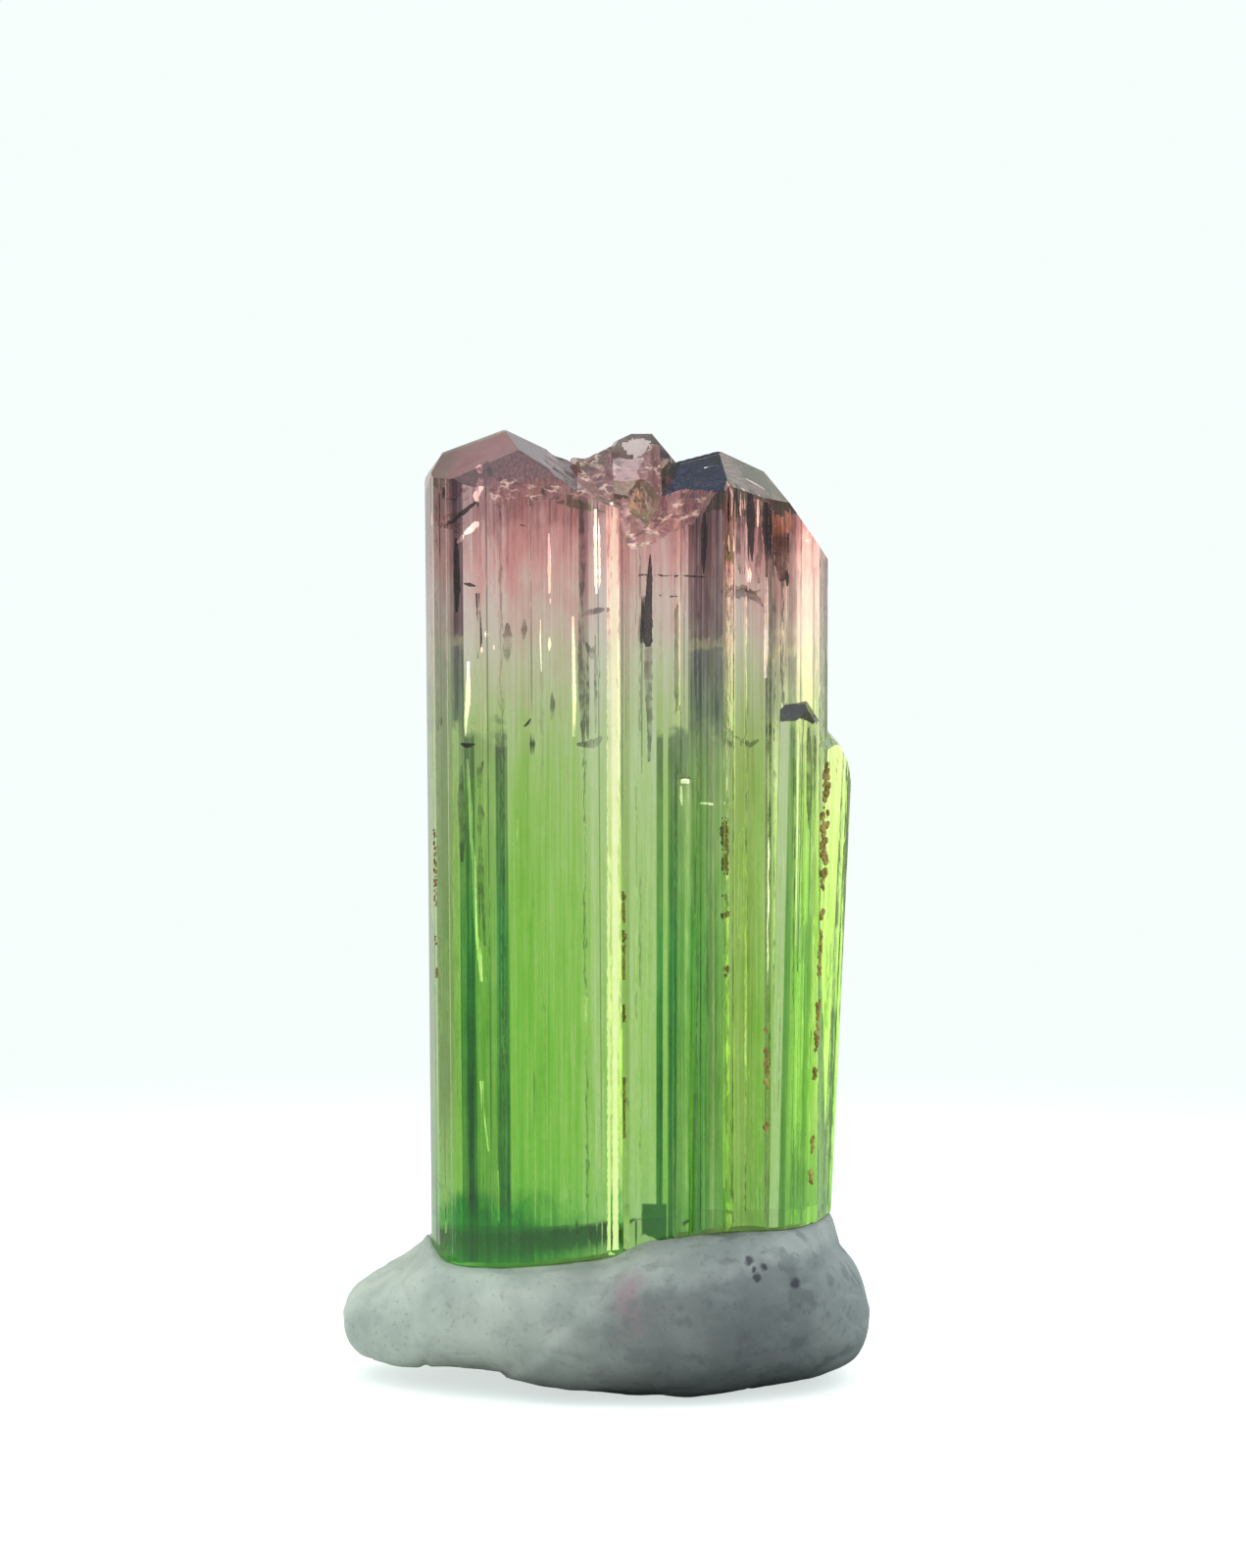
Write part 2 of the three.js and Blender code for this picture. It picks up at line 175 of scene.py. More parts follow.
class Nodes:
    """A node tree that is being built: each call adds a node and links what it is given."""

    def __init__(self, tree):
        self.tree = tree

    def give(self, socket, value):
        """Link an input or set it; a colour may leave out its alpha."""
        if isinstance(value, bpy.types.NodeSocket):
            self.tree.links.new(value, socket)
        elif socket.type == "RGBA" and len(value) == 3:
            socket.default_value = (*value, 1.0)
        else:
            socket.default_value = value

    def add(self, kind, inputs=(), **settings):
        node = self.tree.nodes.new(kind)
        for key, value in settings.items():
            setattr(node, key, value)
        for key, value in dict(inputs).items():
            self.give(node.inputs[key], value)
        return node

    def first(self, kind, inputs=(), **settings):
        """The first output of a new node."""
        return self.add(kind, inputs, **settings).outputs[0]

    def math(self, operation, *values):
        return self.first("ShaderNodeMath", enumerate(values), operation=operation)

    def times(self, value, *others):
        """The product of all the values."""
        for other in others:
            value = self.math("MULTIPLY", value, other)
        return value

    def vector(self, operation, *values, output=0):
        node = self.add("ShaderNodeVectorMath", enumerate(values), operation=operation)
        return node.outputs[output]

    def scaled(self, vector, scale):
        return self.first("ShaderNodeVectorMath", {0: vector, "Scale": scale}, operation="SCALE")

    def distance(self, place, other):
        return self.vector("DISTANCE", place, other, output="Value")

    def xyz(self, **values):
        return self.first("ShaderNodeCombineXYZ", values)

    def even(self, value):
        """A vector with the same value all three ways."""
        return self.xyz(X=value, Y=value, Z=value)

    def split(self, vector):
        return self.add("ShaderNodeSeparateXYZ", {0: vector}).outputs

    def span(self, value, low, high, to_low=0.0, to_high=1.0, kind="LINEAR"):
        """A value from one span carried over to another, and held at its ends."""
        return self.first("ShaderNodeMapRange", {
            "Value": value, "From Min": low, "From Max": high, "To Min": to_low, "To Max": to_high,
        }, interpolation_type=kind)

    def span_mm(self, value, low, high, *ends):
        """The same, from a span in millimetres."""
        return self.span(value, low * MM, high * MM, *ends)

    def noise(self, place, scale, detail=2.0, output=0):
        inputs = {"Vector": place, "Scale": scale, "Detail": detail}
        return self.add("ShaderNodeTexNoise", inputs).outputs[output]

    def shake(self, place, scale, detail):
        """Noise that pushes each way alike."""
        return self.vector("SUBTRACT", self.noise(place, scale, detail, output=1), (0.5, 0.5, 0.5))

    def mix(self, factor, first, second, **settings):
        inputs = {0: factor, 6: first, 7: second}
        return self.add("ShaderNodeMix", inputs, data_type="RGBA", **settings).outputs[2]

    def ramp(self, factor, stops, interpolation="LINEAR"):
        """Colours along a factor, each stop as (place, colour)."""
        node = self.add("ShaderNodeValToRGB", {"Fac": factor})
        node.color_ramp.interpolation = interpolation
        elements = node.color_ramp.elements
        while len(elements) < len(stops):
            elements.new(0.5)
        for element, (place, colour) in zip(elements, stops):
            element.position = place
            element.color = (*colour, 1.0)
        return node.outputs["Color"]

    def stretched(self, place, scale):
        return self.first("ShaderNodeMapping", {"Vector": place, "Scale": scale})

    def bump(self, height, distance):
        inputs = {"Height": height, "Strength": 0.5, "Distance": distance}
        return self.first("ShaderNodeBump", inputs)

    def seen_by_camera(self, hidden, seen):
        """One shader for what the camera sees itself, and one for all other light."""
        chosen = self.add("ShaderNodeLightPath").outputs["Is Camera Ray"]
        return self.first("ShaderNodeMixShader", {0: chosen, 1: hidden, 2: seen})

    def named(self, name, kind="FLOAT"):
        return self.first("GeometryNodeInputNamedAttribute", {"Name": name}, data_type=kind)

    def stored(self, geometry, name, value, kind="FLOAT", domain="POINT"):
        inputs = {"Geometry": geometry, "Name": name, "Value": value}
        return self.first("GeometryNodeStoreNamedAttribute", inputs, data_type=kind, domain=domain)

    def moved(self, geometry, **where):
        return self.first("GeometryNodeSetPosition", {"Geometry": geometry} | where)

    def finished(self, geometry, material):
        """The end of a geometry tree: real geometry in its material."""
        real = self.first("GeometryNodeRealizeInstances", {"Geometry": geometry})
        real = self.first("GeometryNodeSetMaterial", {"Geometry": real, "Material": material})
        self.add("NodeGroupOutput", {0: real})


def node_group(name, kind, inputs, outputs):
    """A node group, with its inputs as (label, type, default) and its outputs as (label, type).

    Gives back its tree, a builder of nodes in it, and the sockets that it is given.
    """
    tree = bpy.data.node_groups.new(name, kind)
    for label, socket_type, value in inputs:
        socket = tree.interface.new_socket(
            label, in_out="INPUT", socket_type="NodeSocket" + socket_type)
        if value is not None:
            socket.default_value = value
    for label, socket_type in outputs:
        tree.interface.new_socket(label, in_out="OUTPUT", socket_type="NodeSocket" + socket_type)
    nodes = Nodes(tree)
    return tree, nodes, nodes.add("NodeGroupInput").outputs


# ------------------------------------------------------------------------------------------------
# Geometry trees


def geometry_tree(name, sockets):
    """A geometry tree with a Geometry in and out, and the named inputs."""
    geometry = ("Geometry", "Geometry")
    return node_group(name, "GeometryNodeTree", [(*geometry, None)] + sockets, [geometry])


def grow(obj, tree, values, name):
    """Run a geometry tree on an object with the named values, and return the plain result."""
    step = obj.modifiers.new(tree.name, "NODES")
    step.node_group = tree
    values = spaced(values)
    for item in tree.interface.items_tree:
        if item.in_out == "INPUT" and item.name in values:
            step[item.identifier] = values[item.name]
    return evaluated_copy(obj, name)


def striated_prism_tree():
    """Sweeps an outline up a prism; its growth lines fade in and out on their way."""
    tree, n, given = geometry_tree("Striated prism", [
        ("Bottom", "Float", 0.003), ("Top", "Float", 0.031), ("Rings", "Int", 30),
        ("Lean", "Float", 0.0), ("Drawn At", "Float", 0.02), ("Fade Length", "Float", 0.007),
        ("Seed", "Float", 0.0), ("Material", "Material", None),
    ])
    profile = n.first("GeometryNodeMeshToCurve", {"Mesh": given["Geometry"]})
    position = n.first("GeometryNodeInputPosition")
    profile = n.stored(profile, "flat", position, "FLOAT_VECTOR")
    ends = {"Start": n.xyz(Z=given["Bottom"]), "End": n.xyz(Z=given["Top"])}
    axis = n.first("GeometryNodeCurvePrimitiveLine", ends)
    axis = n.first("GeometryNodeResampleCurve", {"Curve": axis, "Count": given["Rings"]})
    axis = n.stored(axis, "level", n.split(position)["Z"])
    swept = n.first("GeometryNodeCurveToMesh",
                    {"Curve": axis, "Profile Curve": profile, "Fill Caps": True})

    level = n.named("level")
    above = n.math("SUBTRACT", level, given["Drawn At"])
    place = n.xyz(X=n.math("MULTIPLY_ADD", n.named("line"), 1.7, given["Seed"]),
                  Y=n.math("DIVIDE", level, given["Fade Length"]))
    lasting = n.span(n.noise(place, 1.0, 0.0), 0.36, 0.5, 0.7, 1.0)
    inward = n.times(n.named("notch"), lasting, -1.0)
    inward = n.scaled(n.named("outward", "FLOAT_VECTOR"), inward)
    lean = n.xyz(X=n.times(above, given["Lean"]), Z=level)
    target = n.vector("ADD", n.vector("ADD", n.named("flat", "FLOAT_VECTOR"), lean), inward)
    placed = n.moved(swept, Position=target)
    for label in PAINT:
        placed = n.stored(placed, label, n.named(label), domain="FACE")
    n.finished(placed, given["Material"])
    return tree


def sliver_tree():
    """Turns paths with widths into ragged slivers, flattened from front to back."""
    tree, n, given = geometry_tree("Slivers", [
        ("Step", "Float", 0.00008), ("Ragged", "Float", 0.00003), ("Flatness", "Float", 0.3),
        ("Seed", "Float", 0.0), ("Material", "Material", None),
    ])
    path = n.first("GeometryNodeMeshToCurve", {"Mesh": given["Geometry"]})
    path = n.first("GeometryNodeResampleCurve", {"Curve": path, "Length": given["Step"]},
                   mode="LENGTH")
    position = n.first("GeometryNodeInputPosition")
    place = n.vector("ADD", n.scaled(position, 5000.0), n.xyz(X=given["Seed"]))
    path = n.moved(path, Offset=n.scaled(n.shake(place, 1.0, 2.0), given["Ragged"]))
    rough_width = n.span(n.noise(place, 3.0, 2.0), 0.3, 0.7, 0.8, 1.15)
    path = n.stored(path, "middle", position, "FLOAT_VECTOR")
    body = n.first("GeometryNodeCurveToMesh", {
        "Curve": path, "Scale": n.times(n.named("width"), rough_width), "Fill Caps": True,
        "Profile Curve": n.first("GeometryNodeCurvePrimitiveCircle", {"Resolution": 6, "Radius": 1.0}),
    })
    middle = n.named("middle", "FLOAT_VECTOR")
    flatten = n.xyz(X=1.0, Y=given["Flatness"], Z=1.0)
    spread = n.vector("MULTIPLY", n.vector("SUBTRACT", position, middle), flatten)
    body = n.moved(body, Position=n.vector("ADD", middle, spread))
    n.finished(body, given["Material"])
    return tree


def grain_tree():
    """Sets small rough grains along paths, gathered in clusters, on the front of any ground given."""
    tree, n, given = geometry_tree("Grains", [
        ("Step", "Float", 0.00006), ("Spread", "Float", 0.00004), ("Smallest", "Float", 0.000015),
        ("Largest", "Float", 0.00008), ("Tallness", "Float", 1.6), ("Cluster Length", "Float", 0.0008),
        ("Gaps", "Float", 0.52), ("Seed", "Int", 0), ("Ground", "Object", None),
        ("Ground Reach", "Float", 0.002), ("Material", "Material", None),
    ])

    def drawn(kind, low, high, step):
        """A random vector or number for each point; each draw has its own step of the seed."""
        first = 2 if kind == "FLOAT" else 0
        seed = n.math("ADD", given["Seed"], step) if step else given["Seed"]
        node = n.add("FunctionNodeRandomValue", {first: low, first + 1: high, "Seed": seed},
                     data_type=kind)
        return node.outputs[1 if kind == "FLOAT" else 0]

    path = n.first("GeometryNodeMeshToCurve", {"Mesh": given["Geometry"]})
    points = n.first("GeometryNodeCurveToPoints", {"Curve": path, "Length": given["Step"]},
                     mode="LENGTH")
    position = n.first("GeometryNodeInputPosition")
    place = n.vector("DIVIDE", position, n.even(given["Cluster Length"]))
    place = n.vector("ADD", place, n.xyz(Y=n.times(given["Seed"], 3.7)))
    bare = n.first("FunctionNodeCompare", {0: n.noise(place, 1.0, 1.0), 1: given["Gaps"]},
                   operation="LESS_THAN")
    points = n.first("GeometryNodeDeleteGeometry", {"Geometry": points, "Selection": bare})
    back, forth = n.even(n.times(given["Spread"], -1.0)), n.even(given["Spread"])
    points = n.moved(points, Offset=drawn("FLOAT_VECTOR", back, forth, 0))
    ground = n.add("GeometryNodeObjectInfo", {"Object": given["Ground"]}).outputs["Geometry"]
    touch = n.add("GeometryNodeRaycast", {
        "Target Geometry": ground,
        "Source Position": n.vector("SUBTRACT", position, n.xyz(Y=given["Ground Reach"])),
        "Ray Direction": (0.0, 1.0, 0.0), "Ray Length": n.times(given["Ground Reach"], 2.0),
    }).outputs
    points = n.moved(points, Selection=touch["Is Hit"], Position=touch["Hit Position"])
    ball = n.first("GeometryNodeMeshIcoSphere", {"Radius": 1.0, "Subdivisions": 2})
    ball = n.moved(ball, Offset=n.scaled(n.shake(position, 1.3, 1.0), 0.9))
    size = drawn("FLOAT", given["Smallest"], given["Largest"], 1.0)
    turn = drawn("FLOAT_VECTOR", (-0.5, -0.5, -3.1), (0.5, 0.5, 3.1), 2.0)
    tall = n.scaled(n.xyz(X=1.0, Y=1.0, Z=given["Tallness"]), size)
    grains = n.first("GeometryNodeInstanceOnPoints", {
        "Points": points, "Instance": ball, "Rotation": turn, "Scale": tall,
    })
    n.finished(grains, given["Material"])
    return tree


def path_object(name, paths):
    """Open paths as edges: each is a list of (x, y, z, half width), in millimetres."""
    points, edges = [], []
    for path in paths:
        edges += [(len(points) + i, len(points) + i + 1) for i in range(len(path) - 1)]
        points += path
    mesh = mesh_from(name, [point[:3] for point in points], edges=edges)
    store(mesh, "width", [point[3] * MM for point in points])
    return new_object(name, mesh)


# The lands between the growth lines: how uneven their widths are, the gap that each step takes and
# how deep it is cut, in millimetres, and how unevenly the lands are coloured.
LAND_WIDTHS = (0.35, 1.65)
STEP_GAPS = (0.03, 0.07)
STEP_DEPTHS = (0.008, 0.035)
LAND_SHADES = (0.85, 1.15)


def outline_object(name, corners, rng):
    """A closed outline whose sides are split into narrow lands with steps between them.

    Each corner is (x, y, lands), in millimetres, for the side that starts there: lands is how many
    it has per millimetre. Its depth, depth above, teal and smoke may follow, and are PLAIN if not.
    """
    points, outward, notch, line, rows = [], [], [], [], []
    for i, (x, y, lands, *colour) in enumerate(corners):
        next_x, next_y, *_ = corners[(i + 1) % len(corners)]
        side = Vector((next_x - x, next_y - y, 0))
        out = Vector((side.y, -side.x, 0)).normalized()
        low, high, *tones = (*colour, *PLAIN[len(colour):])
        count = round(side.length * lands) | 1
        widths = [rng.uniform(*LAND_WIDTHS) for _ in range(count)]
        ends = [sum(widths[:k]) / sum(widths) for k in range(count + 1)]
        for k in range(count):
            whole = (ends[k + 1] - ends[k]) * side.length
            gap = min(rng.uniform(*STEP_GAPS), 0.3 * whole) / side.length
            inner = 0 < k < count - 1
            cut = rng.uniform(*STEP_DEPTHS) * (1.0 if k % 2 else 0.25) if inner else 0.0
            shade = rng.uniform(*LAND_SHADES)
            for along in (ends[k] + (gap / 2 if k else 0), ends[k + 1] - gap / 2):
                points.append((x + side.x * along, y + side.y * along, 0))
                outward.extend(out)
                notch.append(cut * MM)
                line.append(7 * i + k)
                rows.append((low * shade, high * shade, *tones, 0.0))
    edges = [(i, (i + 1) % len(points)) for i in range(len(points))]
    mesh = mesh_from(name, points, edges=edges)
    store(mesh, "outward", outward, "FLOAT_VECTOR")
    for label, column in {"notch": notch, "line": line, **dict(zip(PAINT, zip(*rows)))}.items():
        store(mesh, label, column)
    return new_object(name, mesh)


# ------------------------------------------------------------------------------------------------
# The crystal

# Heights in millimetres: the crystal's top, the ends of the blanks that it is cut from, and the top
# of the blocks that cut them.
CRYSTAL_TOP = 29.92
BLANK_TOP = 31.0
BLANK_BOTTOM = 3.2
CUTTER_TOP = BLANK_TOP + 4
# How many rings a prism is swept in, so that its growth lines can fade.
PRISM_RINGS = 60
# A solid is sharp-edged where its surface turns by more than this many degrees.
CRYSTAL_EDGE = 14
PUTTY_EDGE = 50

# The three faces of a tip look this way, in degrees from +X, at this slope from level.
TIP_RIGHT = -15
TIP_BACK = TIP_RIGHT + 120
TIP_FRONT = TIP_RIGHT + 240
TIP_SLOPE = 27.3
LEFT_PEAK = (-3.2, -0.4, CRYSTAL_TOP)
LEFT_SLOPE = 29.5
RIGHT_PEAK = (3.5, -0.6, 29.25)
# The right prism's shoulder has two faces instead of one.
SHOULDER_BACK = 20
SHOULDER_FRONT = -35
RIGHT_FACES = (TIP_FRONT, TIP_BACK, SHOULDER_BACK, SHOULDER_FRONT)
# From here on the right prism's tip reaches over the middle prism, this far below its faces.
TIP_EDGE = 1.7
TIP_SETBACK = 0.012

# Paints. PLAIN is for the sides, and leaves out the frost, which they don't have.
PLAIN = (1.0, 1.0, 0.0, 0.0)
TIP_PAINT = (1.5, 1.35, 0.0, 0.0, 0.45)
TIP_SIDE = (1.5, 2.5, 0.0, 0.5, 0.3)
SLATE = (0.8, 0.8, 0.0, 0.5, 0.2)
# A painted dark reflection, in navy.
NAVY_REFLECTION = (1.3, 1.2, 0.0, 2.0, 0.0)
# The knob's lens: rough, with a painted white highlight.
LENS_HIGHLIGHT = (0.4, 0.3, 0.0, 0.0, 1.0)
FROSTED = (0.8, 0.9, 0.0, 0.0, 0.83)
CAP = (0.4, 0.3, 0.0, 0.1, 0.4)
ETCHED = (1.3, 1.7, 0.0, 0.1, 0.7)
OLIVE = (1.8, 1.3, 2.0, 0.0, 0.45)
KNOB_SIDE = (1.2, 1.6, 0.0, 1.0, 0.3)
PALE = (0.4, 0.4, 0.0, 0.0, 0.0)
STEP = (4.0, 4.0, 1.0, 1.0, 0.1)
FOOT_PAINT = (0.9, 1.0, 0.0, 0.0, 0.2)
RIM_PAINT = (0.35, 1.0, 0.0, 0.0, 0.4)

# Each prism: its outline seen from above, how far it leans in X for each mm of height, the height
# where the outline is drawn, and its faces: a point, the way it looks, its slope and its paint.
PRISMS = {
    "left": dict(
        corners=[
            (-5.70, 0.6, 2, 1.4, 0.9, 0, 0.1), (-5.62, -1.3, 2, 2.2, 1.1, 0, 0.2),
            (-5.33, -2.35, 3, 0.5, 1.0), (-4.80, -2.94, 0, 0.7, 1.0, 0, 1.0),
            (-4.58, -3.05, 0, 1.4, 1.0, 0.9, 1.0), (-4.40, -3.13, 0, 1.7, 0.2, 1.0),
            (-4.10, -3.21, 3, 1.4, 0.9, 0.45), (-3.46, -3.30, 3, 1.55, 1.1, 1.0),
            (-3.07, -3.33, 2, 1.3, 1.3), (-1.75, -3.38, 3, 1.05, 1.3),
            (-0.84, -3.41, 0, 0.6, 1.0, 0, 0.6), (-0.54, -3.42, 4, 0.2, 0.4),
            (0.0, -3.45, 0, 0.04, 0.5), (0.39, -3.05, 3, 0.7, 1.0), (0.46, -1.9, 3), (1.2, 0.2, 3),
            (1.2, 2.9, 3), (-0.9, 3.5, 3), (-3.8, 3.4, 3), (-5.2, 2.6, 3),
        ],
        lean=-0.006, drawn_at=CRYSTAL_TOP,
        faces=[
            (LEFT_PEAK, TIP_RIGHT, LEFT_SLOPE, TIP_SIDE),
            (LEFT_PEAK, TIP_FRONT, TIP_SLOPE, TIP_PAINT),
            ((-3.0, -3.1, 28.5), 265, 58, TIP_SIDE),
            ((-3.2, -0.4, CRYSTAL_TOP - 0.06), 207.8, 22.5, CAP),
            (LEFT_PEAK, 140, 26, TIP_PAINT),
            (LEFT_PEAK, 60, 29, TIP_PAINT),
            ((-5.1, 0, 29.2), 183, 57, CAP),
            ((-5.6, 0, 28.4), 185, 76, CAP),
            ((-3.2, -0.4, CRYSTAL_TOP - 0.05), 270, 9, CAP),
        ],
    ),
    "middle": dict(
        corners=[
            (-0.6, -1.6, 3), (0.30, -2.0, 3, 0.15, 0.8), (0.74, -3.02, 3, 0.35, 1.1),
            (1.57, -3.15, 0, 1.35, 1.0, 1.0), (1.77, -3.13, 0, 0.8, 0.6),
            (1.93, -3.12, 0, 1.35, 0.9, 1.0), (2.10, -3.11, 4, 1.0, 0.9, 1.0),
            (2.55, -3.30, 4, 1.0, 1.0, 0.9, 1.0), (3.20, -3.63, 0, 0.7, 1.0, 0.4, 1.0),
            (3.35, -3.72, 4, 0.9, 1.0, 0.7, 1.0), (3.62, -3.85, 0, 0.8, 1.0, 0.3, 0.3),
            (3.78, -2.6, 2), (3.9, 2.6, 3), (2.6, 3.6, 3), (0.9, 3.4, 3), (-1.4, 2.6, 3),
        ],
        lean=0.0, drawn_at=BLANK_TOP,
        faces=[
            ((1.0, 2.2, 28.6), TIP_BACK, 38, TIP_PAINT),
        ],
    ),
    "right": dict(
        corners=[
            (3.3, -3.2, 2), (3.70, -3.25, 0, 0.8, 1.2, 0.3, 0.3),
            (3.9, -3.65, 5, 1.15, 0.8, -0.8, 0.15), (4.6, -3.5, 4, 1.0, 0.9, -0.5, 0.2),
            (4.9, -3.4, 4, 0.4, 1.1, 0, 0.7), (5.3, -3.1, 4, 0.6, 1.0, 0.2, 0.8),
            (5.9, -2.65, 5, 0.9, 0.5), (6.6, -2.0, 3, 0.8, 0.4), (6.9, -1.1, 3, 0.8, 0.6),
            (6.97, 1.4, 3), (6.5, 3.1, 3), (5.7, 3.5, 3), (3.4, 3.7, 3), (2.3, 1.5, 3),
            (2.3, -1.6, 3),
        ],
        lean=0.0, drawn_at=BLANK_TOP,
        faces=[
            # This front tip face carries a painted dark reflection.
            (RIGHT_PEAK, TIP_FRONT, TIP_SLOPE, NAVY_REFLECTION),
            (RIGHT_PEAK, TIP_BACK, TIP_SLOPE, TIP_PAINT),
            ((3.5, -0.6, 29.18), 205.9, 18.8, CAP),
            (RIGHT_PEAK, SHOULDER_BACK, TIP_SLOPE, TIP_PAINT),
            (RIGHT_PEAK, SHOULDER_FRONT, TIP_SLOPE, SLATE),
            ((4.85, -0.6, 28.67), 2, 54, SLATE),
        ],
    ),
    "knob": dict(
        corners=[
            (0.25, -1.8, 3), (1.1, -2.0, 3), (1.9, -1.1, 3), (2.2, 0.3, 3), (1.8, 1.4, 3),
            (0.7, 1.5, 3), (0.1, 0.5, 3),
        ],
        lean=0.0, drawn_at=BLANK_TOP,
        faces=[
            ((1.15, 0, 29.74), 90, 4, SLATE),
            ((0.66, 0, 29.70), 180, 26, SLATE),
            ((0.3, 0, 29.50), 184, 55, SLATE),
            ((1.5, 0, 29.68), 0, 50, SLATE),
            ((1.15, 0.9, 29.64), 90, 50, TIP_PAINT),
        ],
    ),
    "right front": dict(
        corners=[
            (5.33, -2.7, 3), (5.36, -3.35, 6, 0.1, 0.5), (5.66, -3.31, 0, 1.0, 1.0, 0.8, 0.2),
            (5.85, -3.28, 0, 1.0, 1.0, 0.35), (6.0, -3.18, 5, 0.8, 1.0, 0.7, 0.3),
            (6.52, -2.75, 4, 0.8, 1.0, 0.4, 0.2), (6.62, -1.9, 3), (6.4, -0.8, 3), (5.4, -1.2, 3),
        ],
        lean=0.02, drawn_at=21.0,
        faces=[
            ((5.6, -3.3, 21.0), -84, 50, STEP),
            ((5.6, -2.3, 21.55), -90, 8, STEP),
            ((6.48, -2.75, 20.9), -10, 62, STEP),
        ],
    ),
    "right side": dict(
        corners=[
            (6.3, -1.9, 3, 0.6, 0.6), (6.85, -1.78, 3, 0.65, 0.6), (7.35, -1.2, 3, 0.75, 0.6),
            (7.68, -0.5, 3, 0.6, 0.6), (7.73, 0.5, 3, 0.4, 0.4), (7.5, 1.6, 3, 0.4, 0.4),
            (6.2, 2.0, 3, 0.6, 1),
        ],
        lean=0.043, drawn_at=19.2,
        faces=[
            ((7.0, 0, 20.38), 0, 48, PALE),
            ((7.45, 0, 19.75), 0, 66, PALE),
            ((7.64, 0, 19.1), 0, 79, PALE),
            ((7.0, -1.2, 20.35), -60, 38, PALE),
        ],
    ),
    "front needle": dict(
        corners=[
            (2.2, -3.0, 2), (2.24, -3.5, 0, 0.9, 0.8, 0.8), (2.43, -3.6, 0, 0.9, 0.8, 0.75),
            (2.62, -3.5, 0, 1.1, 0.8, 1.0), (2.68, -3.0, 2),
        ],
        lean=0.004, drawn_at=19.2,
        faces=[((2.45, -3.5, 19.2), -90, 20, CAP)],
    ),
}

# The broken foot's edge, from left to right.
FOOT_LINE = [
    (-9, 5.4), (-5.7, 4.62), (-5.15, 4.15), (-4.6, 4.02), (-2.9, 4.0), (-0.8, 4.2), (0.5, 4.42),
    (1.3, 4.78), (3.6, 5.12), (6.6, 5.2), (7.05, 5.3), (9, 6.4),
]
foot_line = smooth_line(FOOT_LINE)
# The front of the crystal's foot.
front_line = smooth_line([
    (-5.6, -1.0), (-5.1, -2.6), (-4.2, -3.2), (0, -3.45), (5.4, -3.4), (6.4, -2.4), (7.1, -0.8),
])


def cut_face(bm, point, azimuth, slope, colour):
    """Cuts away what lies above a crystal face, and closes the cut."""
    turn, tilt = math.radians(azimuth), math.radians(slope)
    level = Vector((math.cos(turn), math.sin(turn), 0))
    outward = math.sin(tilt) * level + Vector((0, 0, math.cos(tilt)))
    cut = bmesh.ops.bisect_plane(
        bm, geom=bm.verts[:] + bm.edges[:] + bm.faces[:], dist=1e-8,
        plane_co=Vector(point) * MM, plane_no=outward, clear_outer=True)
    edges = [part for part in cut["geom_cut"] if isinstance(part, bmesh.types.BMEdge)]
    for face in bmesh.ops.holes_fill(bm, edges=edges)["faces"] if edges else ():
        for label, value in zip(PAINT, colour):
            face[bm.faces.layers.float[label]] = value


def grid_cells(columns, rows):
    """The faces of a grid of points that are numbered row by row."""
    return [(j * columns + i, j * columns + i + 1, (j + 1) * columns + i + 1, (j + 1) * columns + i)
            for j in range(rows - 1) for i in range(columns - 1)]


def rough_cutter(name, x_range, y_range, step, height, colour):
    """A block that cuts away everything above a rough surface.

    height(x, y) is the surface, in millimetres, and colour(x, y) gives its paint.
    """
    columns = round((x_range[1] - x_range[0]) / step) + 1
    rows = round((y_range[1] - y_range[0]) / step) + 1
    spots = [(x_range[0] + step * i, y_range[0] + step * j)
             for j in range(rows) for i in range(columns)]
    low = [(x, y, height(x, y)) for x, y in spots]
    high = [(x, y, CUTTER_TOP) for x, y in spots]
    above = len(spots)
    cells = grid_cells(columns, rows)
    faces = [tuple(reversed(cell)) for cell in cells]
    faces += [tuple(index + above for index in cell) for cell in cells]
    rim = list(range(columns)) + [j * columns + columns - 1 for j in range(1, rows)]
    rim += [(rows - 1) * columns + i for i in range(columns - 2, -1, -1)]
    rim += [j * columns for j in range(rows - 2, 0, -1)]
    faces += [(a, b, b + above, a + above) for a, b in zip(rim, rim[1:] + rim[:1])]
    obj = new_object(name, mesh_from(name, low + high, faces))
    paint(obj.data, [colour(*(face.center.xy / MM)) for face in obj.data.polygons])
    return edit(obj, tidy_solid)


def rough(x, y, size, seed):
    """Smooth noise from about -1 to 1, with features of a size in millimetres."""
    return noise.noise(Vector((x / size, y / size, seed)))


def rippled(value, rise):
    """Turns a slope into the steps of a shell-like fracture."""
    whole = math.floor(value / rise)
    rest = value / rise - whole
    return (whole + max(0.0, (rest - 0.55) / 0.45) ** 1.5) * rise


def pitted(x, y, size, depth, seed):
    """Etched pits with a raised rim."""
    near = noise.voronoi(Vector((x / size, y / size, seed)))[0][0]
    return depth * (0.5 * bell(near, 0.42, 0.1) - max(0.0, 1 - near / 0.38))


def tip_height(x, y, azimuth, point, slope=TIP_SLOPE):
    """The height of a face that goes through a point, where it lies over (x, y)."""
    turn = math.radians(azimuth)
    run = (x - point[0]) * math.cos(turn) + (y - point[1]) * math.sin(turn)
    return point[2] - math.tan(math.radians(slope)) * run


def etched_edge(x, y):
    """The etched front edge of the left prism's tip."""
    beyond = 1.6 * max(0.0, -3.1 - x) ** 1.5
    shape = 27.75 + 4.5 * (y - front_line(x)) + 0.12 * (x + 1.5)
    shape += 0.2 * rough(x, y, 0.6, 3.0) + 0.12 * rough(x, y, 0.25, 8.0)
    return rippled(shape, 0.2) + 0.03 * rough(x, y, 0.1, 5.0) + beyond


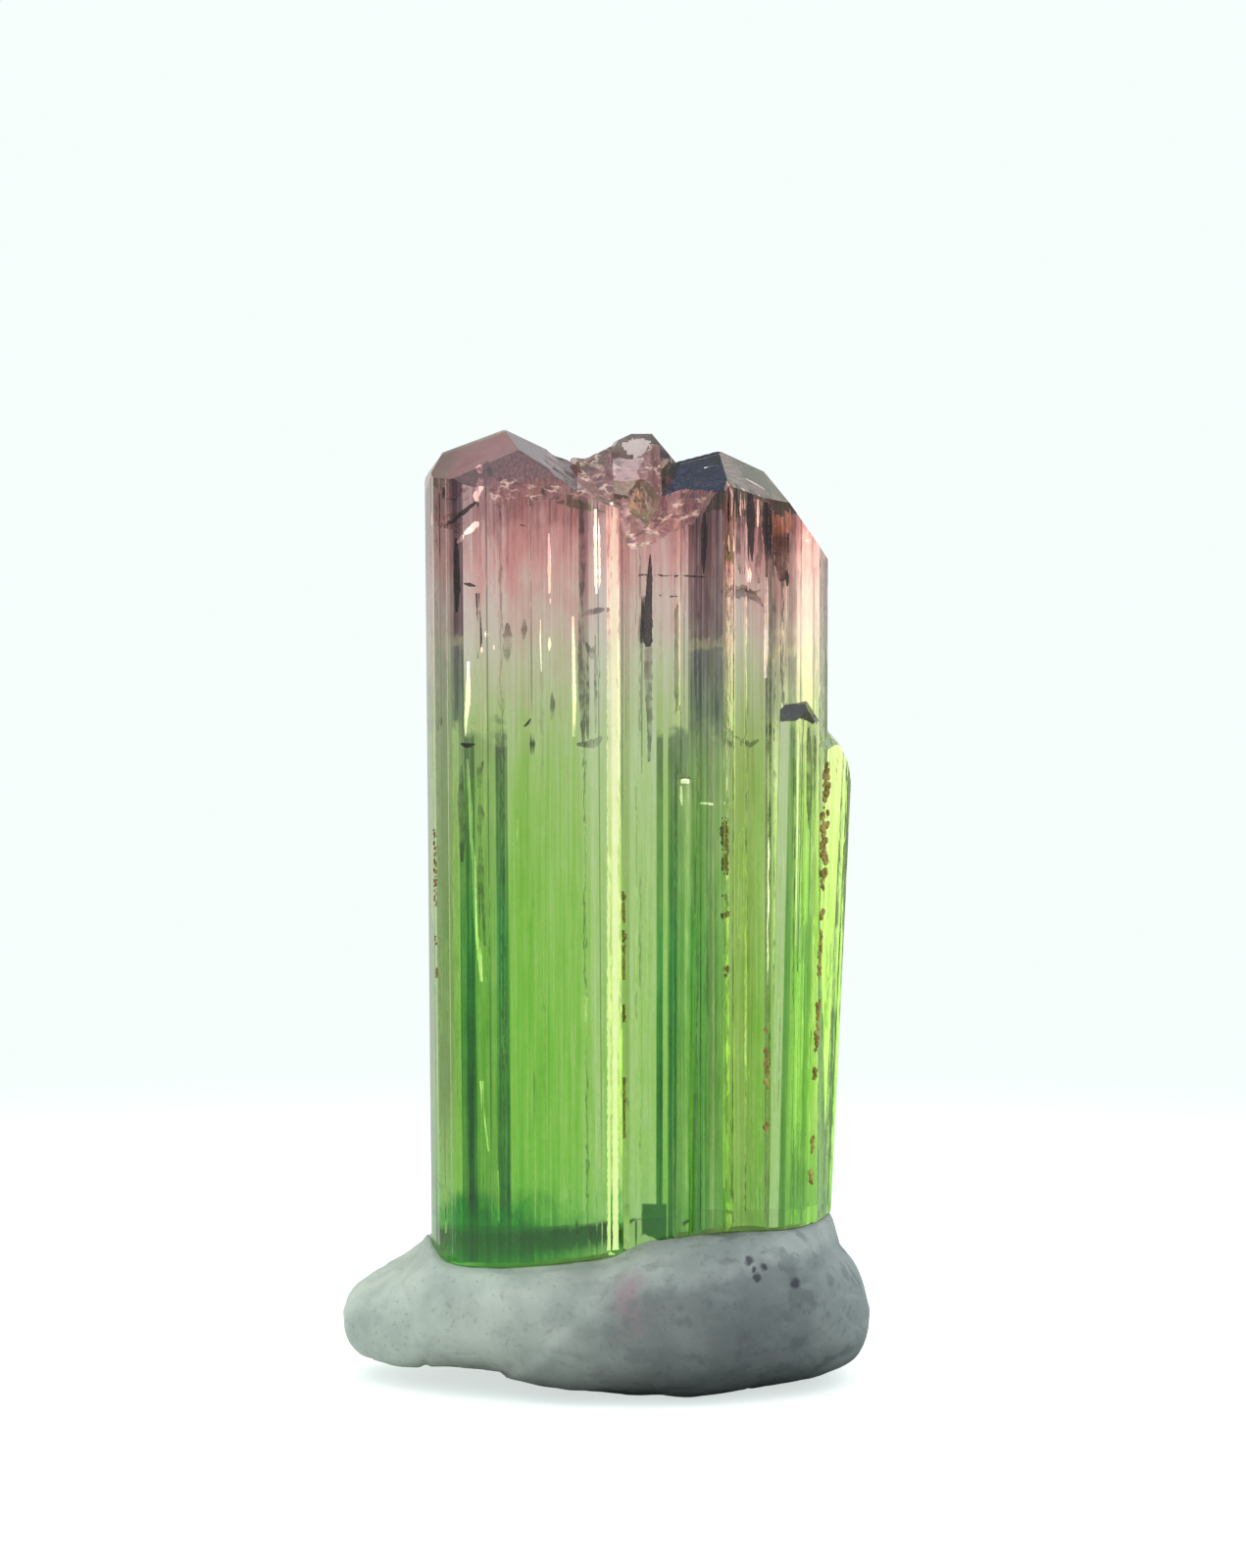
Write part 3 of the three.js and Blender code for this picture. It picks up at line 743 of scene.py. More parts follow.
def worn_tip(x, y):
    """The left prism's right tip face, which is worn towards the middle prism."""
    worn = 0.3 * between(-1.6, -2.3, x) - 0.09 + 0.1 * rough(x, y, 0.5, 6.0)
    worn += 0.05 * rough(x, y, 0.2, 7.0) * between(-1.8, -0.9, x)
    return tip_height(x, y, TIP_RIGHT, LEFT_PEAK, LEFT_SLOPE) + worn


def broken_edge(x, y):
    return min(etched_edge(x, y), worn_tip(x, y))


def edge_colour(x, y):
    if worn_tip(x, y) < etched_edge(x, y) and x < -0.9:
        return TIP_SIDE
    return ETCHED


def right_tip(x, y):
    """The right prism's tip where it reaches over the middle prism."""
    if x < TIP_EDGE:
        return BLANK_TOP
    return min(tip_height(x, y, azimuth, RIGHT_PEAK) for azimuth in RIGHT_FACES) - TIP_SETBACK


def etched_shelf(x, y):
    """The steep etched shelf at the front of the middle prism's broken top."""
    behind = y + 3.13 + 0.55 * max(0.0, x - 2.3)
    steepness = 1.25 + 1.2 * between(1.4, 2.0, x)
    shelf = 25.95 + 0.53 * (x - 0.5) + 0.9 * max(0.0, x - 2.75) + steepness * behind
    shelf += 0.22 * rough(x, y, 0.7, 1.0) + 0.1 * rough(x, y, 0.28, 2.0) + 0.04 * rough(x, y, 0.12, 3.0)
    near_tip = between(0.5, 0.0, abs(shelf - right_tip(x, y)))
    return shelf + pitted(x, y, 0.4, 0.13, 4.0) * (0.3 + near_tip) * between(1.2, 1.6, x)


def broken_top(x, y):
    """The middle prism's broken top, with a rough flat behind the shelf."""
    roof = 28.95 - 0.25 * max(0.0, y - 1.2) + 0.5 * between(-0.8, 0.6, x)
    roof += 0.08 * rough(x, y, 0.45, 6.0) + 0.04 * rough(x, y, 0.15, 7.0)
    return min(etched_shelf(x, y), roof, right_tip(x, y))


def broken_colour(x, y):
    # A painted dark reflection where the right prism's tip reaches over the shelf.
    if right_tip(x, y) < etched_shelf(x, y) - 0.04:
        return NAVY_REFLECTION
    return ETCHED


def knob_front(x, y):
    """The knob's front: a smooth cap, a pale lens under it and a frosted slope below."""
    slope = 29.7 + 1.25 * (y + 0.4) + 0.05 * rough(x, y, 0.3, 9.0)
    lens = 0.10 * bell(x, 0.95, 0.45) * bell(y, -0.62, 0.16)
    notch = 0.14 * bell(y, -0.86, 0.07)
    return slope + lens - notch + 0.10 * rough(x, y, 0.28, 11.0) * between(-0.8, -1.0, y)


def knob_colour(x, y):
    x += 0.12 * rough(x, y, 0.25, 12.0)
    y += 0.05 * rough(x, y, 0.2, 13.0)
    if y > -0.5 + 0.08 * (x - 1) ** 2:
        return SLATE
    if x > 1.4 and y > -1.0:
        return KNOB_SIDE
    # A painted highlight on the lens under the cap.
    if ((x - 1.05) / 0.5) ** 2 + ((y + 0.68) / 0.16) ** 2 < 1:
        return LENS_HIGHLIGHT
    if -1.5 < y < -0.9 and x < 1.35 + 0.5 * (y + 0.9):
        return FROSTED
    return OLIVE


ROUGH_TOPS = {
    "left": ("broken edge", (-4.3, 1.5), (-4.0, 3.8), 0.07, broken_edge, edge_colour),
    "middle": ("broken top", (-1.7, 4.2), (-4.2, 4.0), 0.07, broken_top, broken_colour),
    "knob": ("knob front", (-0.2, 2.6), (-2.0, 0.2), 0.05, knob_front, knob_colour),
}


def terminated_prism(name, prism, tree, seed):
    rng = random.Random(seed)
    outline = outline_object(name, prism["corners"], rng)
    made = grow(outline, tree, {
        "Bottom": BLANK_BOTTOM * MM, "Top": BLANK_TOP * MM, "Rings": PRISM_RINGS,
        "Lean": prism["lean"], "Drawn At": prism["drawn_at"] * MM, "Seed": 10.0 * seed,
    }, name)
    dress(made, tourmaline)

    def finish(bm):
        tidy_solid(bm)
        for face in prism["faces"]:
            cut_face(bm, *face)
        tidy_solid(bm)
    made = edit(made, finish)
    if name in ROUGH_TOPS:
        made = boolean(made, "DIFFERENCE", rough_cutter(*ROUGH_TOPS[name]))
    return made


# The hollow under the knob: its centre, its radii, its seed and its paint.
SCOOP = ((1.15, -2.6, 27.85), (0.5, 1.3, 0.8), 2.0, OLIVE)


def scoop(centre, radii, seed, colour):
    """A rough hollow to cut out."""
    bm = bmesh.new()
    bmesh.ops.create_icosphere(bm, subdivisions=4, radius=1.0)
    for vert in bm.verts:
        swell = 1 + 0.22 * noise.noise(vert.co * 1.6 + Vector((seed, 0, 0)))
        swell += 0.06 * noise.noise(vert.co * 6)
        vert.co = (Vector(centre) + Vector(radii) * vert.co * swell) * MM
    mesh = bpy.data.meshes.new("scoop")
    bm.to_mesh(mesh)
    bm.free()
    paint(mesh, [colour] * len(mesh.polygons))
    return new_object("scoop", mesh)


# A healed fracture's grid, and half its gap in the middle and at its rim, in millimetres.
FILM_CELL = 0.05
FILM_GAP = 0.012
FILM_RIM = 0.003


def film(centre, reach, azimuth, slope, seed, fullness, narrow):
    """A healed fracture: thin ragged patches of gap, to cut out inside the crystal.

    It faces azimuth degrees round from +X and slope degrees down from straight up.
    """
    cells = round(reach / FILM_CELL)
    kept = set()
    for i in range(-cells, cells):
        for j in range(-cells, cells):
            u, v = (i + 0.5) / cells, (j + 0.5) / cells
            ragged = noise.noise(Vector((2.3 * u, 2.3 * v, seed)))
            ragged += 0.4 * noise.noise(Vector((7 * u, 7 * v, seed)))
            if 1 - (u * u + v * v / narrow ** 2) + 1.1 * ragged - 0.45 + fullness > 0:
                kept.add((i, j))
    loose = True
    while loose:
        loose = {(i + 1, j) for i, j in kept if (i + 1, j + 1) in kept
                 and (i + 1, j) not in kept and (i, j + 1) not in kept}
        loose |= {(i - 1, j) for i, j in kept if (i - 1, j + 1) in kept
                  and (i - 1, j) not in kept and (i, j + 1) not in kept}
        kept |= loose
    index, points = {}, []

    def corner(i, j, side):
        if (i, j, side) not in index:
            inside = all((i - a, j - b) in kept for a in (0, 1) for b in (0, 1))
            u, v = i / cells, j / cells
            wave = 0.10 * noise.noise(Vector((1.6 * u, 1.6 * v, seed + 3)))
            wave += 0.03 * noise.noise(Vector((6 * u, 6 * v, seed)))
            height = wave * reach + side * (FILM_GAP if inside else FILM_RIM)
            index[i, j, side] = len(points)
            points.append(Vector((u * reach, v * reach, height)))
        return index[i, j, side]

    faces = []
    for i, j in sorted(kept):
        square = [(i, j), (i + 1, j), (i + 1, j + 1), (i, j + 1)]
        faces.append(tuple(corner(*at, 1) for at in square))
        faces.append(tuple(corner(*at, -1) for at in reversed(square)))
        beside = [(i, j - 1), (i + 1, j), (i, j + 1), (i - 1, j)]
        for a, b, neighbour in zip(square, square[1:] + square[:1], beside):
            if neighbour not in kept:
                faces.append((corner(*a, -1), corner(*b, -1), corner(*b, 1), corner(*a, 1)))
    turned = Matrix.Rotation(math.radians(azimuth), 3, "Z")
    turned = turned @ Matrix.Rotation(math.radians(slope), 3, "Y")
    placed = [turned @ point + Vector(centre) for point in points]
    obj = new_object("film", mesh_from("film", placed, faces))
    paint(obj.data, [PALE] * len(obj.data.polygons))
    return obj


# Centre, reach, the way the film faces, its slope, seed, fullness and narrowness.
FILMS = [
    ((-4.45, -1.9, 28.0), 0.7, 250, 40, 1.0, 0.0, 0.6),
    ((-4.1, -1.5, 28.6), 0.5, 235, 34, 2.0, 0.2, 0.6),
    ((-4.6, -2.0, 27.1), 0.6, 275, 42, 3.0, 0.0, 0.7),
    ((4.5, -2.2, 27.4), 0.9, 285, 60, 8.0, -0.1, 0.5),
    ((5.0, -2.0, 26.5), 0.8, 300, 44, 9.0, 0.0, 0.6),
]


def foot_cutter():
    """Everything below the broken foot, whose front edge is bevelled."""
    bevel = 0.2
    xs = sorted({x for x, _ in FOOT_LINE} | {0.5 * step for step in range(-11, 15)})
    rows = [(-6.0, bevel), (-0.02, bevel), (bevel, 0.0), (12.0, 0.0)]
    points = [(x, front_line(x) + ahead, foot_line(x) + rise) for ahead, rise in rows for x in xs]
    points += [(x, front_line(x) + ahead, -9.0) for ahead in (rows[0][0], rows[-1][0]) for x in xs]
    n, count = len(xs), len(rows)
    faces = grid_cells(n, count)
    low_front, low_back, back = count * n, (count + 1) * n, (count - 1) * n
    for i in range(n - 1):
        faces.append((low_front + i, low_front + i + 1, i + 1, i))
        faces.append((back + i, back + i + 1, low_back + i + 1, low_back + i))
        faces.append((low_back + i, low_back + i + 1, low_front + i + 1, low_front + i))
    for i in (0, n - 1):
        faces.append(tuple(j * n + i for j in range(count)) + (low_back + i, low_front + i))
    obj = new_object("foot cutter", mesh_from("foot cutter", points, faces))
    paint(obj.data, [RIM_PAINT if n - 1 <= i < 2 * (n - 1) else FOOT_PAINT for i in range(len(faces))])
    return edit(obj, tidy_solid)


def make_crystal():
    tree = striated_prism_tree()
    crystal = None
    for seed, (name, prism) in enumerate(PRISMS.items(), start=1):
        made = terminated_prism(name, prism, tree, seed)
        crystal = made if crystal is None else boolean(crystal, "UNION", made)
    for tool in [foot_cutter(), scoop(*SCOOP)] + [film(*one) for one in FILMS]:
        crystal = boolean(crystal, "DIFFERENCE", tool)
    crystal.name = crystal.data.name = "clear_crystal"
    return polished(crystal, CRYSTAL_EDGE)


# ------------------------------------------------------------------------------------------------
# What is sealed in the crystal and what lies along its grooves

# Dark smoky blades and spots: the depth that each lies at, then its path as (x, z, half width).
SMOKY_BLADES = [
    (-2.65, [(1.4, 26.1, .02), (1.39, 25.8, .06), (1.38, 25.4, .1), (1.36, 25, .12), (1.33, 24.4, .15),
             (1.31, 23.9, .18), (1.31, 23.5, .19), (1.34, 23.25, .1)]),
    (-2.7, [(1.18, 24.6, .02), (1.15, 24, .06), (1.12, 23.5, .05), (1.12, 23.3, .02)]),
    (-2.75, [(-4.56, 26.6, .04), (-4.54, 26, .1), (-4.52, 25, .11), (-4.54, 24.3, .04)]),
    (-2.85, [(-4.43, 20.27, .03), (-4.25, 20.2, .1), (-4, 20.25, .03)]),
    (-2.85, [(-4.33, 25.2, .02), (-4.15, 25.17, .07), (-3.98, 25.12, .03)]),
    (-2.8, [(-3.95, 24.9, .03), (-3.88, 24.2, .06), (-3.82, 23.5, .05), (-3.9, 22.9, .03)]),
    (-2.45, [(-4.88, 26.9, .04), (-4.6, 27.1, .07), (-4.2, 27.45, .08), (-3.9, 27.74, .04)]),
    (-2.3, [(-4.85, 28.15, .04), (-4.83, 27.95, .12), (-4.88, 27.8, .04)]),
    (-2.2, [(-3.56, 28.65, .04), (-3.55, 28.45, .12), (-3.5, 28.3, .05)]),
    (-2.95, [(-1.93, 28.1, .04), (-1.9, 27.95, .07), (-1.85, 27.85, .03)]),
    (-2.8, [(-2.62, 27, .02), (-2.55, 27, .05), (-2.47, 26.98, .02)]),
    (-2.9, [(-2.5, 20.8, .03), (-2.38, 20.92, .06), (-2.3, 21.05, .02)]),
    (-2.9, [(-2.28, 20.5, .04), (-2.26, 20.25, .08), (-2.25, 20, .03)]),
    (-2.9, [(3.14, 27.4, .05), (3.15, 26.8, .1), (3.12, 26, .08), (3.12, 25.5, .02)]),
    (-3, [(4.38, 28, .08), (4.4, 27.3, .15), (4.42, 26.5, .1), (4.45, 25.9, .02)]),
    (-2.9, [(4.84, 27.7, .08), (4.88, 27, .15), (4.9, 26.3, .11), (4.86, 25.9, .03)]),
    (-3.1, [(3.95, 28.2, .04), (3.93, 27.6, .08), (3.95, 27.1, .02)]),
    (-2.3, [(5.48, 26.75, .04), (5.5, 26.4, .1), (5.5, 26.1, .05)]),
    (-2.4, [(5.42, 25.6, .05), (5.45, 25.4, .11), (5.46, 25.1, .04)]),
    (-2.45, [(5.45, 21.25, .14), (5.7, 21.22, .2), (6.1, 21.15, .22), (6.4, 20.95, .16)]),
]

# A painted highlight: a cream streak that glows along the left prism's right front edge.
PAINTED_EDGE_HIGHLIGHT = [
    (-2.96, [(0.17, 27.7, .05), (0.18, 26, .11), (0.16, 22, .12), (0.18, 15, .13), (0.17, 10, .12),
             (0.18, 4.52, .13)]),
]

# Fainter smoke, given in the same way.
FAINT_SMOKE = [
    (-2.62, [(6.16, 20.75, .05), (6.18, 20, .13), (6.2, 19.2, .14), (6.2, 18.4, .12),
             (6.22, 17.6, .04)]),
    (-2.55, [(6.38, 20.5, .03), (6.4, 19.6, .08), (6.4, 18.8, .06), (6.4, 18, .02)]),
    (-3.02, [(5.78, 20.4, .015), (5.78, 18, .03), (5.76, 15, .03), (5.74, 12, .015)]),
    (-3, [(4.96, 18.7, .02), (4.98, 17.8, .06), (4.95, 16.8, .04), (4.96, 16, .02)]),
    (-2.9, [(4.02, 27.7, .04), (4.08, 26.9, .11), (4, 26.1, .12), (4.1, 25.5, .05)]),
    (-2.9, [(4.66, 27, .03), (4.68, 26.3, .1), (4.6, 25.6, .08), (4.62, 25.2, .03)]),
    (-2.9, [(5.05, 25, .03), (5.1, 24.4, .08), (5.06, 23.6, .05), (5.1, 22.9, .02)]),
    (-2.95, [(-0.82, 24.3, .03), (-0.78, 23, .08), (-0.74, 21.8, .1), (-0.7, 20.9, .08),
             (-0.7, 20.3, .03)]),
    (-2.95, [(-0.55, 23, .02), (-0.54, 22, .06), (-0.56, 21, .06), (-0.54, 20.4, .03)]),
    (-2.95, [(-0.32, 23.6, .02), (-0.32, 22.6, .05), (-0.3, 21.5, .05), (-0.3, 20.6, .02)]),
    (-2.95, [(-0.72, 27.7, .03), (-0.73, 26.9, .09), (-0.72, 25.4, .1), (-0.74, 24.5, .05)]),
    (-2.65, [(1.34, 23.25, .12), (1.33, 22.6, .13), (1.36, 21.6, .11), (1.38, 20.6, .08),
             (1.36, 19.7, .04)]),
    (-2.6, [(1.22, 24.8, .03), (1.14, 24.2, .09), (1.1, 23.6, .1), (1.14, 23.2, .04)]),
    (-2.95, [(-0.88, 20.25, .05), (-0.55, 20.25, .14), (-0.3, 20.3, .17), (-0.12, 20.5, .05)]),
    (-2.95, [(-0.78, 24.2, .03), (-0.5, 24.32, .1), (-0.18, 24.38, .12), (-0.02, 24.42, .05)]),
    (-2.95, [(-0.6, 23.4, .03), (-0.45, 23.1, .12), (-0.25, 22.8, .1), (-0.2, 22.3, .04)]),
    (-2.6, [(3.85, 20.5, .03), (4.1, 20.4, .07), (4.35, 20.2, .1), (4.62, 20.38, .05)]),
    (-2.7, [(3.75, 25, .06), (4, 24.85, .14), (4.3, 24.95, .16), (4.6, 24.7, .1), (4.75, 24.5, .03)]),
    (-2.8, [(-3.75, 19.75, .03), (-3.88, 19.4, .11), (-3.86, 19.1, .08), (-3.9, 18.9, .03)]),
    (-2.8, [(-3.86, 18.4, .03), (-3.82, 18.1, .12), (-3.88, 17.75, .11), (-3.86, 17.4, .04)]),
    (-2.8, [(-3.85, 17.1, .04), (-3.84, 16.3, .1), (-3.82, 15.3, .09), (-3.72, 14, .04)]),
    (-2.8, [(-4.4, 19.6, .04), (-4.42, 18.6, .12), (-4.38, 17.6, .13), (-4.4, 16.6, .05)]),
    (-2.9, [(-2.28, 20.6, .04), (-2.26, 20.25, .1), (-2.25, 19.9, .04)]),
    (-2.9, [(-3.02, 24, .04), (-3, 23.6, .14), (-3.04, 23.2, .13), (-3.02, 22.8, .04)]),
    (-2.9, [(-2.5, 24.1, .04), (-2.5, 23.8, .1), (-2.52, 23.5, .04)]),
    (-2.9, [(-1.65, 21.9, .03), (-1.62, 21.5, .09), (-1.66, 21, .04)]),
]

# Painted glints: pale veils that glow, given in the same way.
PAINTED_GLINT_VEILS = [
    (-2.6, [(-3.88, 28.82, .03), (-3.87, 28.68, .1), (-3.85, 28.5, .08)]),
    (-2.95, [(-3.85, 28.42, .08), (-3.83, 28.2, .13), (-3.88, 28.05, .09), (-3.97, 27.9, .1),
             (-3.95, 27.72, .03)]),
    (-2.9, [(-4.32, 26.72, .04), (-4.2, 26.8, .1), (-4.06, 26.9, .13), (-3.95, 27.1, .05)]),
    (-2.95, [(-4.55, 26.45, .03), (-4.42, 26.55, .08), (-4.36, 26.7, .04)]),
    (-1.95, [(-5.32, 27.35, .02), (-5.3, 27.15, .05), (-5.3, 26.95, .02)]),
    (-2.95, [(-3.65, 23.75, .02), (-3.65, 23.65, .07), (-3.65, 23.55, .02)]),
    (-2.95, [(-3.8, 23.25, .02), (-3.8, 23.17, .05), (-3.8, 23.08, .02)]),
    (-2.95, [(-3.42, 23.3, .02), (-3.42, 23.25, .04), (-3.42, 23.18, .02)]),
    (-3.05, [(-1.72, 23.55, .02), (-1.72, 23.35, .06), (-1.73, 23.15, .02)]),
    (-3.05, [(-1.7, 24.75, .02), (-1.7, 24.68, .05), (-1.7, 24.6, .02)]),
    (-3.05, [(-2, 24.1, .01), (-2, 23.4, .03), (-1.97, 22.5, .015)]),
    (-3.05, [(-0.98, 24.2, .02), (-0.98, 23, .06), (-0.96, 21.5, .07), (-0.97, 20.5, .02)]),
    (-3.05, [(-1.74, 26.75, .02), (-1.73, 26.3, .045), (-1.73, 25.6, .05), (-1.72, 24.9, .03)]),
    (-3.05, [(-0.3, 27.5, .05), (-0.27, 27, .1), (-0.26, 26.2, .11), (-0.25, 25.3, .11),
             (-0.26, 24.9, .04)]),
    (-2.9, [(-4.2, 22.8, .04), (-4.2, 22.2, .07), (-4.22, 21.5, .09), (-4.28, 20.9, .05),
            (-4.3, 20.5, .02)]),
    (-3.02, [(-4.25, 19.8, .03), (-4.2, 19, .05), (-4.16, 18.3, .07), (-4.14, 17.4, .05),
             (-4.06, 16.7, .06), (-4.04, 15.8, .05), (-4.02, 14.9, .06), (-3.9, 13.6, .05),
             (-3.85, 12.9, .02)]),
    (-3.45, [(2.32, 19.12, .05), (2.42, 19.15, .09), (2.55, 19.12, .06)]),
    (-3.45, [(2.33, 19, .03), (2.34, 18.7, .06), (2.36, 18.4, .02)]),
    (-3.25, [(2.95, 18.45, .02), (3.15, 18.45, .05), (3.4, 18.43, .03)]),
    (-2.9, [(-3.86, 9.8, .02), (-3.8, 9, .035), (-3.7, 8.3, .025), (-3.62, 7.6, .02)]),
    (-2.9, [(-3.32, 7, .015), (-3.3, 6.2, .025), (-3.3, 5.5, .035), (-3.3, 5.35, .01)]),
    (-1.6, [(3.05, 28.72, .02), (3.25, 28.74, .05), (3.45, 28.7, .04), (3.55, 28.65, .02)]),
    (-2.2, [(4.3, 28.35, .02), (4.5, 28.15, .08), (4.7, 27.95, .05), (4.8, 27.8, .02)]),
    (-3.15, [(4.63, 27.8, .02), (4.63, 27.4, .05), (4.62, 26.95, .02)]),
    (-3.25, [(3.86, 26.7, .02), (3.85, 26.45, .06), (3.9, 26.2, .02)]),
    (-3.15, [(4.12, 28, .02), (4.12, 27.6, .05), (4.1, 27.3, .02)]),
    (-3.15, [(4.37, 25.7, .02), (4.4, 25.5, .05), (4.4, 25.25, .02)]),
    (-3.1, [(4.87, 25.4, .02), (4.9, 24.5, .06), (4.88, 23.4, .06), (4.85, 22.3, .02)]),
    (-2.05, [(6.02, 26.5, .02), (6.1, 26.5, .06), (6.22, 26.48, .03)]),
    (-3.08, [(5.88, 20.6, .01), (5.88, 18.5, .03), (5.86, 16, .025), (5.84, 14, .01)]),
    (-3.22, [(4.98, 17.4, .02), (5, 16.9, .05), (4.97, 16.2, .03), (5, 15.4, .05), (4.96, 14.6, .03),
             (4.98, 13.6, .04), (4.96, 12.8, .01)]),
]

# Thin iron-brown stains on healed fractures, with a painted glow that is brightest high up.
IRON_STAINS_AND_GLOW = [
    (-2.45, [(5.32, 27.42, .06), (5.46, 27.25, .14), (5.58, 27.02, .14), (5.64, 26.8, .05)]),
    (-2.55, [(5.12, 27.3, .08), (5.2, 26.8, .25), (5.3, 26.3, .3), (5.3, 25.8, .28), (5.3, 25.3, .12)]),
    (-3.05, [(3.8, 25.25, .03), (4, 25.05, .07), (4.2, 25.1, .09), (4.45, 24.9, .06), (4.7, 25, .03)]),
]

# Rust along the grooves, as points from the top down.
RUST_LINES = [
    [(0.56, -2.82, 16.2), (0.57, -2.82, 6.8)],
    [(3.71, -3.50, 19.2), (3.73, -3.50, 16.3)], [(3.73, -3.50, 15.6), (3.76, -3.50, 12.6)],
    [(4.96, -3.30, 11.6), (4.97, -3.30, 8.0)],
    [(6.84, -1.95, 19.5), (6.72, -1.95, 15.0), (6.35, -1.95, 5.7)],
]
SIDE_RUST = [
    [(6.84, -1.93, 19.5), (6.82, -1.93, 18.4)], [(6.81, -1.93, 18.1), (6.79, -1.93, 17.5)],
    [(6.78, -1.93, 17.1), (6.75, -1.93, 16.1)], [(6.73, -1.93, 14.9), (6.72, -1.93, 14.7)],
]
RED_RUST_LINE = [[(-5.30, -2.45, 17.5), (-5.27, -2.45, 13.0)]]
NEEDLES = [
    [(1.0, -2.75, 25.46), (3.1, -3.1, 25.42)],
    [(1.66, -2.95, 24.82), (2.5, -2.95, 24.80)],
]


def slivers(name, rows, tree, material, seed, **values):
    paths = [[(x, depth, z, width) for x, z, width in row] for depth, row in rows]
    made = grow(path_object(name, paths), tree, {"Material": material, "Seed": seed} | values, name)
    return edit(made, tidy_solid)


def grains(name, paths, tree, material, **values):
    paths = [[(*point, 0) for point in path] for path in paths]
    return grow(path_object(name, paths), tree, {"Material": material} | values, name)


# ------------------------------------------------------------------------------------------------
# The putty

# The lump's half length in millimetres, the powers that square its section and round its ends, and
# the gap under the crystal's foot.
PUTTY_REACH = 8.32
PUTTY_BOXINESS = 0.7
PUTTY_END_ROUNDNESS = 0.6
SOCKET_GAP = 0.03

upper_line = smooth_line([
    (-8.32, 2.1), (-8.17, 2.45), (-7.77, 2.85), (-7.15, 3.25), (-6.5, 3.6), (-5.9, 4.0), (-5.3, 4.4),
    (-4, 4.45), (-2, 4.5), (0, 4.75), (2, 5.1), (4, 5.4), (6, 5.15), (6.75, 4.75), (7.18, 4.3),
    (7.58, 3.85), (7.95, 3.3), (8.17, 2.8), (8.32, 2.2),
])
lower_line = smooth_line([
    (-8.32, 2.1), (-8.25, 1.45), (-7.9, 0.88), (-7.39, 0.62), (-6.63, 0.45), (-5.4, 0.45),
    (-4.2, 0.45), (-3.0, 0.36), (-1.76, 0.1), (-0.9, -0.02), (1.28, -0.2), (3.56, -0.2), (5.0, -0.02),
    (5.8, 0.12), (7.1, 0.42), (7.7, 0.68), (8.04, 1.05), (8.24, 1.6), (8.32, 2.2),
])
half_width = smooth_line([
    (-8.32, 3.4), (-7.2, 3.9), (-5, 4.8), (-2, 5.5), (1, 5.8), (4, 5.8), (6.4, 5.5), (8.32, 5.0),
])
# The ridge that the putty was pressed up into behind the crystal.
back_ridge = smooth_line([
    (-8, 0.0), (-5.6, 0.3), (-4.7, 0.7), (-3.9, 0.55), (-2.5, 0.4), (-0.6, 0.3), (0.6, 0.2),
    (2.0, 0.1), (2.6, 0.0), (8, 0.0),
])
# Pits pressed in its front, as across, height, radius and depth.
PUTTY_PITS = [
    (4.42, 4.72, 0.14, 0.22), (4.68, 4.28, 0.16, 0.16), (4.55, 4.45, 0.12, 0.14),
    (6.55, 4.08, 0.15, 0.15), (6.15, 3.7, 0.11, 0.10), (-6.9, 2.6, 0.16, 0.08),
    (2.3, 3.1, 0.12, 0.10), (5.6, 2.6, 0.15, 0.12), (-3.6, 2.2, 0.12, 0.08), (7.2, 3.3, 0.12, 0.1),
]
# Round the crystal's foot, counter-clockwise from its left.
FOOTPRINT = [
    (-5.56, 0.6), (-5.48, -1.3), (-5.18, -2.38), (-4.6, -3.0), (-3.9, -3.24), (-2.8, -3.36),
    (0.12, -3.48), (0.57, -3.0), (1.6, -3.2), (2.2, -3.55), (2.75, -3.5), (3.65, -3.9), (3.95, -3.7),
    (4.95, -3.45), (5.6, -3.35), (6.1, -2.9), (6.35, -2.0), (6.8, -1.55), (7.05, -0.9), (7.16, -0.4),
    (7.18, 0.5), (6.98, 1.3), (6.33, 2.65), (4.9, 3.55), (3.4, 3.75), (0.9, 3.5), (-0.9, 3.55),
    (-3.5, 3.35), (-5.0, 2.2),
]


def putty_press(x, y, z):
    """How far the kneading pushed the putty in or out, in millimetres."""
    here = Vector((x, y, z))
    push = 0.14 * noise.noise(here / 2.6) + 0.05 * noise.noise(here / 1.0 + Vector((5, 0, 0)))
    push += 0.012 * noise.noise(here / 0.35)
    creased = abs(noise.noise(Vector((x / 2.1 + 3, y / 2.1, z / 1.4))))
    push -= 0.03 * between(0.08, 0.0, creased)
    if y > 0:
        return push
    across = ((z - 4.3) - (x - 0.66)) * 0.707
    push -= 0.16 * between(-0.02, 0.14, across) * between(2.6, 0.6, across)
    push -= 0.10 * bell(across, 0, 0.07) * between(1.2, 1.8, z)
    push -= 0.09 * bell(x + 0.25 * (z - 2.3) + 0.1 * math.sin(4 * z), -6.05, 0.12)
    for pit_x, pit_z, size, depth in PUTTY_PITS:
        push -= depth * bell(x, pit_x, size) * bell(z, pit_z, size)
    return push


